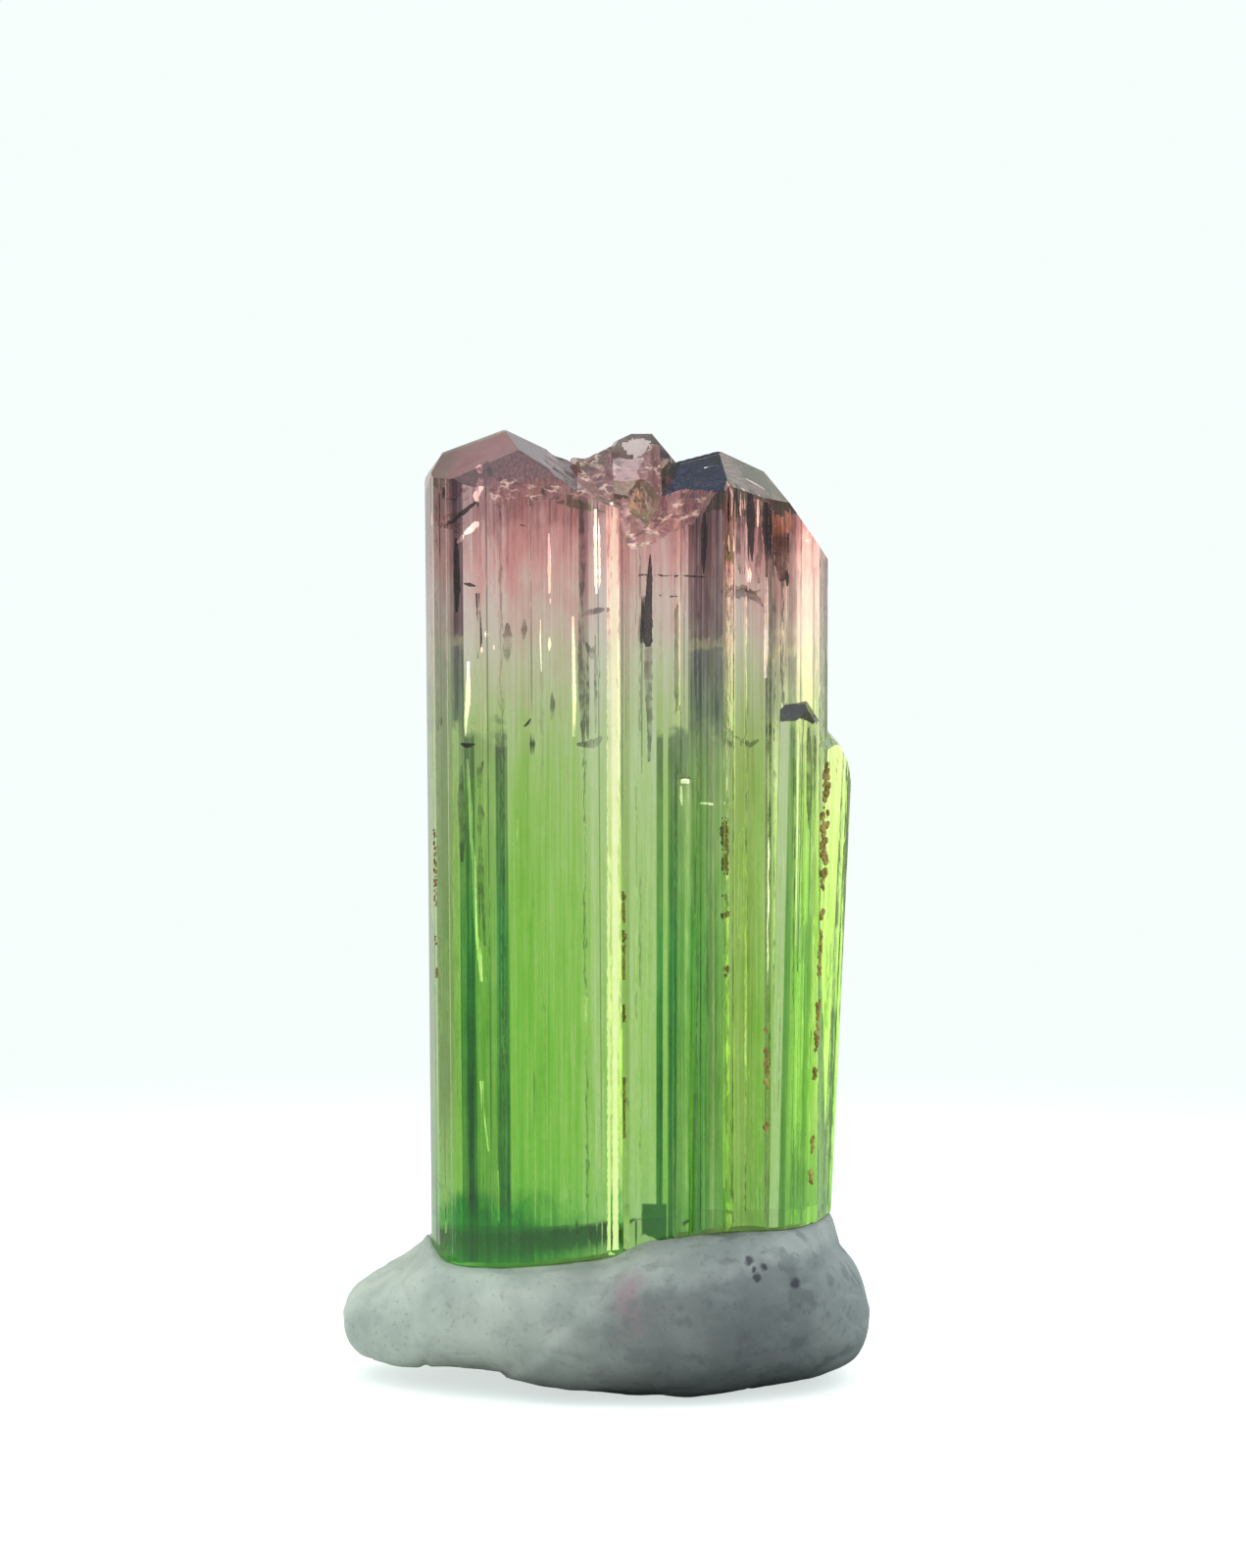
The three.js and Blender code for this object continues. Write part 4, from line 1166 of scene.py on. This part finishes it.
def make_putty():
    """A skin drawn out along X into the lump, kneaded, with the socket that the crystal pressed."""
    along, around = 190, 250

    def squared(value):
        return math.copysign(abs(value) ** PUTTY_BOXINESS, value)

    def spot(i, j):
        ring = math.pi * i / along
        turn = math.tau * j / around
        x = -math.cos(ring) * PUTTY_REACH
        full = math.sin(ring) ** PUTTY_END_ROUNDNESS
        middle, half = (upper_line(x) + lower_line(x)) / 2, (upper_line(x) - lower_line(x)) / 2
        wide, high = squared(math.cos(turn)), squared(math.sin(turn))
        y, z = half_width(x) * full * wide, middle + half * high
        out = Vector((-0.3 * math.cos(ring), wide / max(half_width(x), 1), high / max(half, 0.4)))
        push = putty_press(x, y, z) * between(0, 0.25, full)
        x, y, z = Vector((x, y, z)) + out.normalized() * push
        if high > 0:
            z += back_ridge(x) * bell(y, 4.1, 0.75)
            ahead = front_line(x) - y
            rim = foot_line(x) - 0.04 - 0.14 * ahead + 0.04 * rough(x, y, 0.5, 2.0)
            near = between(1.1, 0.15, ahead) * between(-1.2, -0.6, ahead)
            z += (rim - z) * near * between(-6.1, -5.5, x) * between(7.5, 6.95, x)
        return (x, y, max(z, 0.0))

    rings = [spot(i, j) for i in range(1, along) for j in range(around)]
    points = [spot(0, 0)] + rings + [spot(along, 0)]
    last = len(points) - 1
    faces = []
    for j in range(around):
        after = (j + 1) % around
        faces.append((0, 1 + j, 1 + after))
        faces.append((last, last - around + after, last - around + j))
        for i in range(along - 2):
            a, b = 1 + i * around, 1 + (i + 1) * around
            faces.append((a + j, b + j, b + after, a + after))
    lump = edit(new_object("kneaded_putty", mesh_from("kneaded_putty", points, faces)), tidy_solid)

    count = len(FOOTPRINT)
    walls = [(x, y, z) for z in (2.5, 8.0) for x, y in FOOTPRINT]
    faces = [tuple(reversed(range(count))), tuple(range(count, 2 * count))]
    faces += [(i, (i + 1) % count, (i + 1) % count + count, i + count) for i in range(count)]
    foot = edit(new_object("foot", mesh_from("foot", walls, faces)), tidy_solid)
    under = foot_cutter()
    under.data.transform(Matrix.Translation((0, 0, -SOCKET_GAP * MM)))
    foot = boolean(foot, "DIFFERENCE", under)
    lump = boolean(lump, "DIFFERENCE", foot)
    return polished(lump, PUTTY_EDGE)


# ------------------------------------------------------------------------------------------------
# Materials


def object_material(name):
    """A new material, the builder of its nodes, and the place of each point of the object."""
    material = bpy.data.materials.new(name)
    material.use_nodes = True
    material.node_tree.nodes.clear()
    nodes = Nodes(material.node_tree)
    return material, nodes, nodes.add("ShaderNodeTexCoord").outputs["Object"]


def mottle_group():
    """Shader group: two colours in cloudy patches, with the mask that parts them."""
    tree, n, given = node_group("Mottle", "ShaderNodeTree", [
        ("Vector", "Vector", None), ("Scale", "Float", 500.0), ("Low", "Float", 0.4),
        ("High", "Float", 0.6), ("First", "Color", (0, 0, 0, 1)), ("Second", "Color", (1, 1, 1, 1)),
    ], [("Color", "Color"), ("Mask", "Float")])
    cloud = n.noise(given["Vector"], given["Scale"], 5.0)
    mask = n.span(cloud, given["Low"], given["High"], kind="SMOOTHSTEP")
    n.add("NodeGroupOutput", {"Color": n.mix(mask, given["First"], given["Second"]), "Mask": mask})
    return tree


def cells_group():
    """Shader group: the cells that etching left, as masks of their pits and of the rims between, where
    painted shade and painted glints go.
    """
    tree, n, given = node_group("Etched cells", "ShaderNodeTree", [("Vector", "Vector", None)],
                                [("Pits", "Float"), ("Rims", "Float")])
    place = n.stretched(given["Vector"], (2300.0, 2300.0, 4600.0))
    place_in_cell = n.vector("ADD", place, n.scaled(n.noise(place, 0.9, 2.0, output=1), 1.6))
    cells = n.add("ShaderNodeTexVoronoi", {"Vector": place_in_cell, "Scale": 1.0},
                  feature="DISTANCE_TO_EDGE").outputs["Distance"]
    n.add("NodeGroupOutput", {
        "Pits": n.times(n.span(cells, 0.10, 0.28), n.span(n.noise(place, 0.45), 0.42, 0.52)),
        "Rims": n.times(n.span(cells, 0.14, 0.02), n.span(n.noise(place, 0.8, 2.0), 0.5, 0.62)),
    })
    return tree


mottle_tree, cells_tree = mottle_group(), cells_group()


def mottle(nodes, output, place, scale, **values):
    """Two colours in cloudy patches, or the mask that parts them."""
    inputs = {"Vector": place, "Scale": scale} | values
    return nodes.add("ShaderNodeGroup", inputs, node_tree=mottle_tree).outputs[output]


def patches(nodes, place, scale, low, high):
    return mottle(nodes, "Mask", place, scale, Low=low, High=high)


# What one depth of crystal lets through, in zones from the foot up, by height in millimetres.
ZONES = [
    (4.0, (0.21, 0.60, 0.08)), (7.0, (0.31, 0.73, 0.08)), (12.0, (0.36, 0.77, 0.10)),
    (16.0, (0.42, 0.77, 0.14)), (19.0, (0.51, 0.78, 0.22)), (21.0, (0.62, 0.77, 0.35)),
    (22.7, (0.77, 0.75, 0.51)), (24.2, (0.88, 0.66, 0.58)), (26.0, (0.90, 0.46, 0.44)),
    (26.8, (0.76, 0.37, 0.36)), (27.6, (0.48, 0.21, 0.21)), (29.0, (0.52, 0.26, 0.31)),
]
# And what the teal and smoky parts let through: partly their own colour, partly painted shade.
DARK_ZONES = [
    (4.0, (0.008, 0.12, 0.008)), (11.0, (0.012, 0.20, 0.015)), (14.0, (0.022, 0.27, 0.035)),
    (18.5, (0.14, 0.31, 0.08)), (20.2, (0.12, 0.18, 0.10)), (21.5, (0.06, 0.09, 0.08)),
    (22.9, (0.06, 0.06, 0.07)), (23.1, (0.24, 0.22, 0.13)), (23.4, (0.20, 0.17, 0.11)),
    (23.7, (0.07, 0.035, 0.045)), (26.5, (0.06, 0.025, 0.035)), (28.2, (0.05, 0.03, 0.05)),
    (30.0, (0.05, 0.04, 0.07)),
]
# What the olive faces of the tips let through, and the navy ones, a painted dark reflection.
OLIVE_TINT = (0.26, 0.20, 0.09)
NAVY_REFLECTION_TINT = (0.006, 0.011, 0.06)
# What the khaki faces let through in the green part.
KHAKI_TINT = (0.40, 0.50, 0.09)
# Painted shade in the dark green patches along the foot and the small square one beside them,
# and a painted glow at the foot.
FOOT_SHADE_TINT = (0.01, 0.25, 0.008)
SQUARE_SHADE_TINT = (0.002, 0.06, 0.001)
PAINTED_FOOT_GLOW = (0.004, 0.05, 0.002)
# Painted shade in the etched cells' pits, painted glints on their rims, and the painted glow that a
# face gets by its frost.
PIT_SHADE_TINT = (0.05, 0.016, 0.035)
RIM_GLOW = (0.44, 0.37, 0.29)
PAINTED_FROST_GLOW = [
    (0.0, (0, 0, 0)), (0.2, (0, 0, 0)), (0.45, (0.07, 0.042, 0.052)), (0.7, (0.05, 0.034, 0.034)),
    (1.0, (0.36, 0.31, 0.32)),
]
# The clear crystal: how it bends light, what its whole depth absorbs, and how rough a face is
# without frost and how much more with it.
CRYSTAL_IOR = 1.63
BODY_COLOUR = (0.6, 0.6, 0.5)
BODY_DENSITY = 60.0
CLEAR_ROUGHNESS = 0.07
FROST_ROUGHNESS = 0.45


def tourmaline_material():
    material, n, place = object_material("tourmaline")
    across, depthwise, true_height = (n.split(place)[axis] for axis in "XYZ")
    streaks = n.stretched(place, (14000.0, 14000.0, 170.0))
    blotch = n.noise(n.stretched(place, (3200.0, 3200.0, 900.0)), 1.0, 4.0)
    shifts = [(n.noise(place, 420.0), 1.0), (n.noise(place, 1500.0, 4.0), 1.4),
              (n.noise(streaks, 0.35), 3.0), (blotch, 3.0)]
    height = true_height
    for shift, reach in shifts:
        height = n.math("MULTIPLY_ADD", shift, reach * MM, height)
    height = n.math("SUBTRACT", height, sum(reach for _, reach in shifts) / 2 * MM)

    def zoned(level, zones):
        low, high = zones[0][0], zones[-1][0]
        stops = [((z - low) / (high - low), colour) for z, colour in zones]
        return n.ramp(n.span_mm(level, low, high), stops)

    painted = {label: n.add("ShaderNodeAttribute", attribute_name=label).outputs["Fac"]
               for label in PAINT}
    depth, depth_above, teal, smoke, frost = painted.values()
    upper = n.span_mm(height, 20.0, 23.5)
    depth = n.math("MULTIPLY_ADD", upper, n.math("SUBTRACT", depth_above, depth), depth)
    uneven = n.span(n.noise(streaks, 1.0), 0.3, 0.7, 0.62, 1.38)
    blotchy = n.span(blotch, 0.35, 0.7, 0.9, 1.2)
    depth = n.times(depth, uneven, blotchy)

    ragged = n.math("SUBTRACT", true_height, 1.35 * MM)
    ragged = n.math("MULTIPLY_ADD", n.noise(place, 1500.0, 4.0), 2.0 * MM, ragged)
    ragged = n.math("MULTIPLY_ADD", n.noise(place, 3500.0, 3.0), 0.7 * MM, ragged)
    # The teal and smoky bands: partly the crystal's own colour, partly painted shade and reflection.
    change = n.math("SUBTRACT", smoke, teal)
    dark = n.math("MULTIPLY_ADD", n.span_mm(ragged, 20.4, 20.9), change, teal)
    dark = n.times(dark, n.span(n.noise(streaks, 0.6, 3.0), 0.45, 0.75, 1.0, 0.75))
    # Painted shade: the dark green patches along the foot, and the small square one.
    foot = n.times(
        n.span_mm(across, -5.2, -4.8), n.span_mm(across, -3.0, 0.2, 1.0, 0.35),
        n.span_mm(n.math("MULTIPLY_ADD", across, 0.2, ragged), 5.3, 4.7),
        n.span_mm(across, 0.2, 0.3, 1.0, 0.0))
    square = n.times(
        n.span_mm(across, 1.1, 1.13), n.span_mm(across, 1.9, 1.87), n.span_mm(true_height, 6.0, 5.95),
        n.span_mm(ragged, 5.0, 5.1), n.span_mm(depthwise, -2.0, -2.3))
    khaki = n.times(n.span(teal, 0.0, -1.0), n.span(upper, 0.0, 1.0, 1.0, 0.0))
    tint = n.mix(dark, zoned(height, ZONES), zoned(ragged, DARK_ZONES))
    for share, colour in [(khaki, KHAKI_TINT), (foot, FOOT_SHADE_TINT), (n.span(teal, 1.2, 1.8), OLIVE_TINT),
                          (n.span(smoke, 1.2, 1.8), NAVY_REFLECTION_TINT)]:
        tint = n.mix(share, tint, colour)
    tint = n.first("ShaderNodeGamma", {"Color": tint, "Gamma": depth})
    tint = n.mix(square, tint, SQUARE_SHADE_TINT)

    # Painted shade in the pits and painted glints on the rims of etched faces.
    etched = n.times(n.span(frost, 0.55, 0.65), n.span(frost, 0.98, 0.95))
    cells = n.add("ShaderNodeGroup", {"Vector": place}, node_tree=cells_tree).outputs
    tint = n.mix(n.times(cells["Pits"], etched, 0.95), tint, PIT_SHADE_TINT)
    # A painted glow by frost, in the upper part.
    frost_glow = n.scaled(n.ramp(frost, PAINTED_FROST_GLOW), n.times(upper, blotchy))
    rims = n.scaled(RIM_GLOW, n.times(cells["Rims"], etched))
    # A painted glow low in the foot's dark green patches.
    foot_glow_paint = n.scaled(PAINTED_FOOT_GLOW, n.times(foot, n.span_mm(true_height, 5.7, 5.2)))
    ripples = n.stretched(place, (3000.0, 3000.0, 1100.0))
    surface = n.first("ShaderNodeBsdfPrincipled", {
        "Base Color": tint,
        "Roughness": n.math("MULTIPLY_ADD", frost, FROST_ROUGHNESS, CLEAR_ROUGHNESS),
        "IOR": CRYSTAL_IOR, "Transmission Weight": 1.0,
        "Normal": n.bump(n.noise(ripples, 1.0), 0.02 * MM),
        "Emission Color": n.vector("ADD", n.vector("ADD", frost_glow, rims), foot_glow_paint),
        "Emission Strength": 1.0,
    })
    volume = n.first("ShaderNodeVolumeAbsorption", {"Color": BODY_COLOUR, "Density": BODY_DENSITY})
    n.add("ShaderNodeOutputMaterial", {"Surface": surface, "Volume": volume})
    return material


def grainy_material(name, first, second, scale, roughness, patchy=None, glow=None, **more):
    """An opaque mineral in two mottled colours.

    patchy, as (low, high, least, most), lets it show through in patches, between these shares of
    it. glow, as (low, high, stops), gives it a painted glow in colours by height, in millimetres.
    With an emission strength and no glow, it glows in its own colours, which is painted light too.
    """
    material, n, place = object_material(name)
    colour = mottle(n, "Color", place, scale, First=first, Second=second)
    inputs = {
        "Base Color": colour, "Roughness": roughness,
        "Normal": n.bump(n.noise(place, 3 * scale), 0.02 * MM),
    } | spaced(more)
    if "Emission_Strength" in more:
        inputs["Emission Color"] = colour
    if patchy:
        low, high, least, most = patchy
        shown = patches(n, place, 2000.0, low, high)
        inputs["Alpha"] = n.span(shown, 0.0, 1.0, least, most)
    if glow:
        low, high, stops = glow
        inputs["Emission Color"] = n.ramp(n.span_mm(n.split(place)["Z"], low, high), stops)
    surface = n.first("ShaderNodeBsdfPrincipled", inputs)
    n.add("ShaderNodeOutputMaterial", {"Surface": surface})
    return material


# Dark spots on the putty, as across, height and radius.
PUTTY_SPOTS = [
    (4.48, 4.52, 0.17), (4.74, 4.06, 0.17), (4.95, 4.34, 0.13), (4.62, 4.26, 0.10), (5.9, 3.8, 0.2),
]
# The putty's colours from its left end to its right, with painted shade that darkens its right part.
PUTTY_COLOURS_AND_SHADE = [
    (0.0, (0.66, 0.76, 0.67)), (0.3, (0.60, 0.68, 0.60)), (0.5, (0.45, 0.50, 0.47)),
    (0.75, (0.30, 0.34, 0.34)), (1.0, (0.46, 0.53, 0.52)),
]


def putty_material():
    material, n, place = object_material("putty")
    split = n.split(place)
    shift = n.math("SUBTRACT", split["X"], 1.5 * MM)
    shift = n.math("MULTIPLY_ADD", n.noise(place, 450.0), 3.0 * MM, shift)
    colour = n.ramp(n.span_mm(shift, -8.3, 8.3), PUTTY_COLOURS_AND_SHADE)
    # Painted shade: darker beyond the fold line across the front.
    beyond_fold = n.math("SUBTRACT", split["X"], n.math("SUBTRACT", split["Z"], 3.65 * MM))
    fold_shade = n.span_mm(beyond_fold, -0.15, 0.7, 1.0, 0.80, "SMOOTHSTEP")
    colour = n.mix(fold_shade, (0.08, 0.10, 0.10), colour)
    cloudy = mottle(n, "Color", place, 700.0, Low=0.3, High=0.7,
                    First=(0.84, 0.85, 0.86), Second=(1.12, 1.1, 1.1))
    # Painted light and shade: the right half is lighter above and darker below.
    above = n.math("SUBTRACT", split["Z"], n.math("MULTIPLY_ADD", split["X"], 0.17, 3.9 * MM))
    above = n.math("MULTIPLY_ADD", n.noise(place, 900.0, 3.0), 1.2 * MM, above)
    above = n.span_mm(above, -0.15, 0.3)
    right = n.times(n.span_mm(split["X"], 6.3, 7.4, 1.0, 0.1),
                    n.span_mm(split["X"], -0.5, 1.5))
    painted_light_and_shade = n.mix(right, (1, 1, 1), n.mix(above, (0.77, 0.77, 0.78), (1.34, 1.33, 1.30)))
    for shade in (cloudy, painted_light_and_shade):
        colour = n.mix(1.0, colour, shade, blend_type="MULTIPLY")
    dark = n.times(patches(n, place, 1300.0, 0.52, 0.66),
                   n.span_mm(split["X"], -2.0, 5.0, 0.1, 0.5))
    away = n.distance(n.vector("MULTIPLY", place, (2.0, 1.0, 1.0)), (0.0015, -0.0052, 0.0032))
    pink = n.times(n.span_mm(away, 0.4, 1.6, 0.7, 0.0, "SMOOTHSTEP"),
                   patches(n, place, 900.0, 0.4, 0.6))
    specks = n.times(patches(n, place, 5200.0, 0.60, 0.68), 0.2)
    for share, tone in [(dark, (0.12, 0.14, 0.15)), (pink, (0.42, 0.29, 0.33)),
                        (specks, (0.10, 0.11, 0.12))]:
        colour = n.mix(share, colour, tone)
    shaken = n.scaled(n.noise(place, 5000.0, 2.0, output=1), 0.16 * MM)
    flat = n.vector("MULTIPLY", n.vector("ADD", place, shaken), (1, 0, 1))
    for x, z, size in PUTTY_SPOTS:
        away = n.distance(flat, (x * MM, 0, z * MM))
        spot = n.span_mm(away, 0.5 * size, size, 0.85, 0.0)
        colour = n.mix(spot, colour, (0.035, 0.04, 0.055))
    grain = n.math("MULTIPLY_ADD", n.noise(place, 1600.0, 4.0), 2.0, n.noise(place, 6500.0, 3.0))
    surface = n.first("ShaderNodeBsdfPrincipled", {
        "Base Color": colour, "Roughness": n.span(grain, 1.0, 2.0, 0.62, 0.9),
        "Normal": n.bump(grain, 0.03 * MM),
    })
    n.add("ShaderNodeOutputMaterial", {"Surface": surface})
    return material


tourmaline = tourmaline_material()
# Painted glints: the pale veils glow in their own colours.
glint_veil = grainy_material(
    "pale veil", (0.95, 0.86, 0.68), (0.97, 0.94, 0.86), 2500.0, 0.35, Emission_Strength=1.2)
# A painted highlight: the cream streak glows in colours by height.
edge_highlight = grainy_material(
    "cream streak", (0.4, 0.4, 0.3), (0.5, 0.5, 0.4), 2500.0, 0.4, Emission_Strength=0.95,
    glow=(8, 25, [(0.0, (0.74, 0.90, 0.36)), (0.6, (0.80, 0.84, 0.48)), (1.0, (0.87, 0.80, 0.64))]))
rust = grainy_material("rust", (0.32, 0.23, 0.06), (0.62, 0.47, 0.15), 3000.0, 0.9)
red_rust = grainy_material("red rust", (0.32, 0.13, 0.08), (0.52, 0.30, 0.18), 3000.0, 0.9)
smoky = grainy_material(
    "smoky inclusion", (0.04, 0.025, 0.045), (0.12, 0.08, 0.11), 2500.0, 0.5, Alpha=0.75)
faint = grainy_material(
    "faint smoke", (0.08, 0.06, 0.07), (0.22, 0.16, 0.15), 2500.0, 0.6,
    patchy=(0.35, 0.65, 0.1, 0.45))
# Iron stains in their own colours, with a painted glow that is brightest high up.
stain_and_glow = grainy_material(
    "iron stain", (0.50, 0.20, 0.08), (0.72, 0.42, 0.24), 2500.0, 0.6, Emission_Strength=1.0,
    patchy=(0.3, 0.7, 0.2, 0.8),
    glow=(26.0, 27.3, [(0.0, (0, 0, 0)), (0.45, (0.03, 0.012, 0.005)),
                       (0.75, (0.55, 0.25, 0.10)), (1.0, (0.80, 0.42, 0.20))]))


# ------------------------------------------------------------------------------------------------
# The object

crystal = make_crystal()
dress(crystal, tourmaline)
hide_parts("tourmaline_crystal")

sliver, grain = sliver_tree(), grain_tree()
sealed = [
    slivers("smoky_blades", SMOKY_BLADES, sliver, smoky, 1.0),
    slivers("faint_smoke", FAINT_SMOKE, sliver, faint, 4.0, Ragged=0.06 * MM),
    # Pale veils that glow as painted glints.
    slivers("pale_veils", PAINTED_GLINT_VEILS, sliver, glint_veil, 2.0),
    # The cream streak, which glows as a painted highlight.
    slivers("cream_streak", PAINTED_EDGE_HIGHLIGHT, sliver, edge_highlight, 5.0, Ragged=0.04 * MM),
    # Iron stains with a painted glow.
    slivers("iron_stains", IRON_STAINS_AND_GLOW, sliver, stain_and_glow, 3.0, Ragged=0.12 * MM),
    grains("dark_needles", NEEDLES, grain, smoky, Seed=3, Step=0.05 * MM, Spread=0.02 * MM,
           Smallest=0.012 * MM, Largest=0.045 * MM, Tallness=0.8, Cluster_Length=0.0005, Gaps=0.42),
    grains("groove_rust", RUST_LINES, grain, rust, Seed=5, Ground=crystal),
    grains("side_rust", SIDE_RUST, grain, rust, Seed=11, Step=0.05 * MM, Largest=0.11 * MM, Gaps=0.42,
           Spread=0.09 * MM, Cluster_Length=0.0003, Ground=crystal),
    grains("red_rust", RED_RUST_LINE, grain, red_rust, Seed=8, Largest=0.05 * MM, Ground=crystal),
]
putty = make_putty()
dress(putty, putty_material())
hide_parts("mounting_putty")
for piece, slot in [(crystal, "tourmaline"), (putty, "putty")] + [(one, "tourmaline") for one in sealed]:
    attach(piece, "root")


# ------------------------------------------------------------------------------------------------
# The floor, the light and the camera

# The floor is a disc of this many sides and this radius in millimetres, and it fades out before its
# edge. The backdrop is what the camera sees past it.
FLOOR_SIDES = 96
FLOOR_REACH = 150.0
BACKDROP = (0.93, 1.0, 0.985)


def make_floor():
    turns = [math.tau * i / FLOOR_SIDES for i in range(FLOOR_SIDES)]
    points = [(0, 0, 0)]
    points += [(FLOOR_REACH * math.cos(turn), FLOOR_REACH * math.sin(turn), 0) for turn in turns]
    faces = [(0, i + 1, (i + 1) % FLOOR_SIDES + 1) for i in range(FLOOR_SIDES)]
    floor = new_object("floor", mesh_from("floor", points, faces))
    material, n, place = object_material("pale floor")
    bright = n.first("ShaderNodeBsdfPrincipled", {
        "Base Color": (0.80, 0.83, 0.83), "Roughness": 0.9,
        "Emission Color": BACKDROP, "Emission Strength": 0.65,
    })
    # Painted shade: for all light but the camera's, the floor is darker near the object.
    near = n.span(n.distance(place, (0.0045, 0, 0)), 0.006, 0.014)
    shade = n.mix(near, (0.25, 0.26, 0.26), (0.82, 0.84, 0.83))
    dim = n.first("ShaderNodeBsdfDiffuse", {"Color": shade})
    lit = n.seen_by_camera(dim, bright)
    shown = n.span(n.distance(place, (0, 0, 0)), 0.020, 0.075, 1.0, 0.0, "SMOOTHSTEP")
    clear = n.first("ShaderNodeBsdfTransparent")
    n.add("ShaderNodeOutputMaterial", {
        "Surface": n.first("ShaderNodeMixShader", {0: shown, 1: clear, 2: lit}),
    })
    floor.data.materials.append(material)


# How bright the studio is all round, by degrees from straight behind the crystal, + to the right,
# and how warm each part of it is.
STUDIO_LIGHT = [
    (-180, 0.65, 0.0), (-90, 0.5, 0.0), (-70, 0.5, 0.0), (-60, 1.7, 1.0), (-34, 1.7, 1.0),
    (-26, 1.05, 0.5), (-18, 0.85, 0.2), (-6, 0.8, 0.0), (15, 0.8, 0.0), (21, 0.4, 0.0),
    (32, 0.4, 0.0), (42, 0.6, 0.0), (60, 0.5, 0.0), (90, 0.45, 0.0), (180, 0.65, 0.0),
]
# The gap above it, dim on the left and bright on the right of this span, and the light overhead.
GAP_LIGHT = 0.25
GAP_SPAN = (10, 17)
OVERHEAD_LIGHT = 1.6
COOL, WARM = Vector((0.95, 1.0, 1.0)), Vector((1.08, 1.0, 0.88))


def make_world():
    world = bpy.data.worlds.new("studio")
    bpy.context.scene.world = world
    world.use_nodes = True
    world.node_tree.nodes.clear()
    n = Nodes(world.node_tree)
    split = n.split(n.add("ShaderNodeTexCoord").outputs["Generated"])
    turn = n.math("ARCTAN2", split["X"], split["Y"])
    stops = [(0.5 + degrees / 360, level * COOL.lerp(WARM, warmth))
             for degrees, level, warmth in STUDIO_LIGHT]
    level = n.ramp(n.span(turn, -math.pi, math.pi), stops, "EASE")
    gap = n.mix(n.span(turn, *map(math.radians, GAP_SPAN)), GAP_LIGHT * COOL, COOL)
    light = n.mix(n.span(split["Z"], 0.25, 0.42), level, gap)
    light = n.mix(n.span(split["Z"], 0.68, 0.85), light, OVERHEAD_LIGHT * COOL)
    studio, backdrop = (n.first("ShaderNodeBackground", {"Color": colour, "Strength": 1.0})
                        for colour in (light, BACKDROP))
    n.add("ShaderNodeOutputWorld", {"Surface": n.seen_by_camera(studio, backdrop)})


# The camera looks down by its rise, in degrees, at its aim, in millimetres.
CAMERA_RISE = 4.5
CAMERA_DISTANCE = 0.160
CAMERA_LENS = 119.5
CAMERA_SENSOR = 36.0
CAMERA_AIM = (0.53, -3.5, 19.06)


def make_camera():
    data = bpy.data.cameras.new("camera")
    data.lens = CAMERA_LENS
    data.sensor_width = CAMERA_SENSOR
    data.clip_start = 0.01
    data.clip_end = 10.0
    camera = new_object("camera", data)
    rise = math.radians(CAMERA_RISE)
    aim = Vector(CAMERA_AIM) * MM
    away = Vector((0, -math.cos(rise), math.sin(rise)))
    camera.location = aim + away * CAMERA_DISTANCE
    camera.rotation_euler = (math.pi / 2 - rise, 0, 0)
    bpy.context.scene.camera = camera


# How often light may turn on its way through the crystal, and off or through anything else.
CRYSTAL_BOUNCES = 32
OTHER_BOUNCES = 16


make_floor()
make_world()
make_camera()

scene = bpy.context.scene
scene.view_settings.view_transform = "Standard"
scene.cycles.max_bounces = CRYSTAL_BOUNCES
scene.cycles.transmission_bounces = CRYSTAL_BOUNCES
scene.cycles.glossy_bounces = OTHER_BOUNCES
scene.cycles.transparent_max_bounces = OTHER_BOUNCES
scene.cycles.use_denoising = True
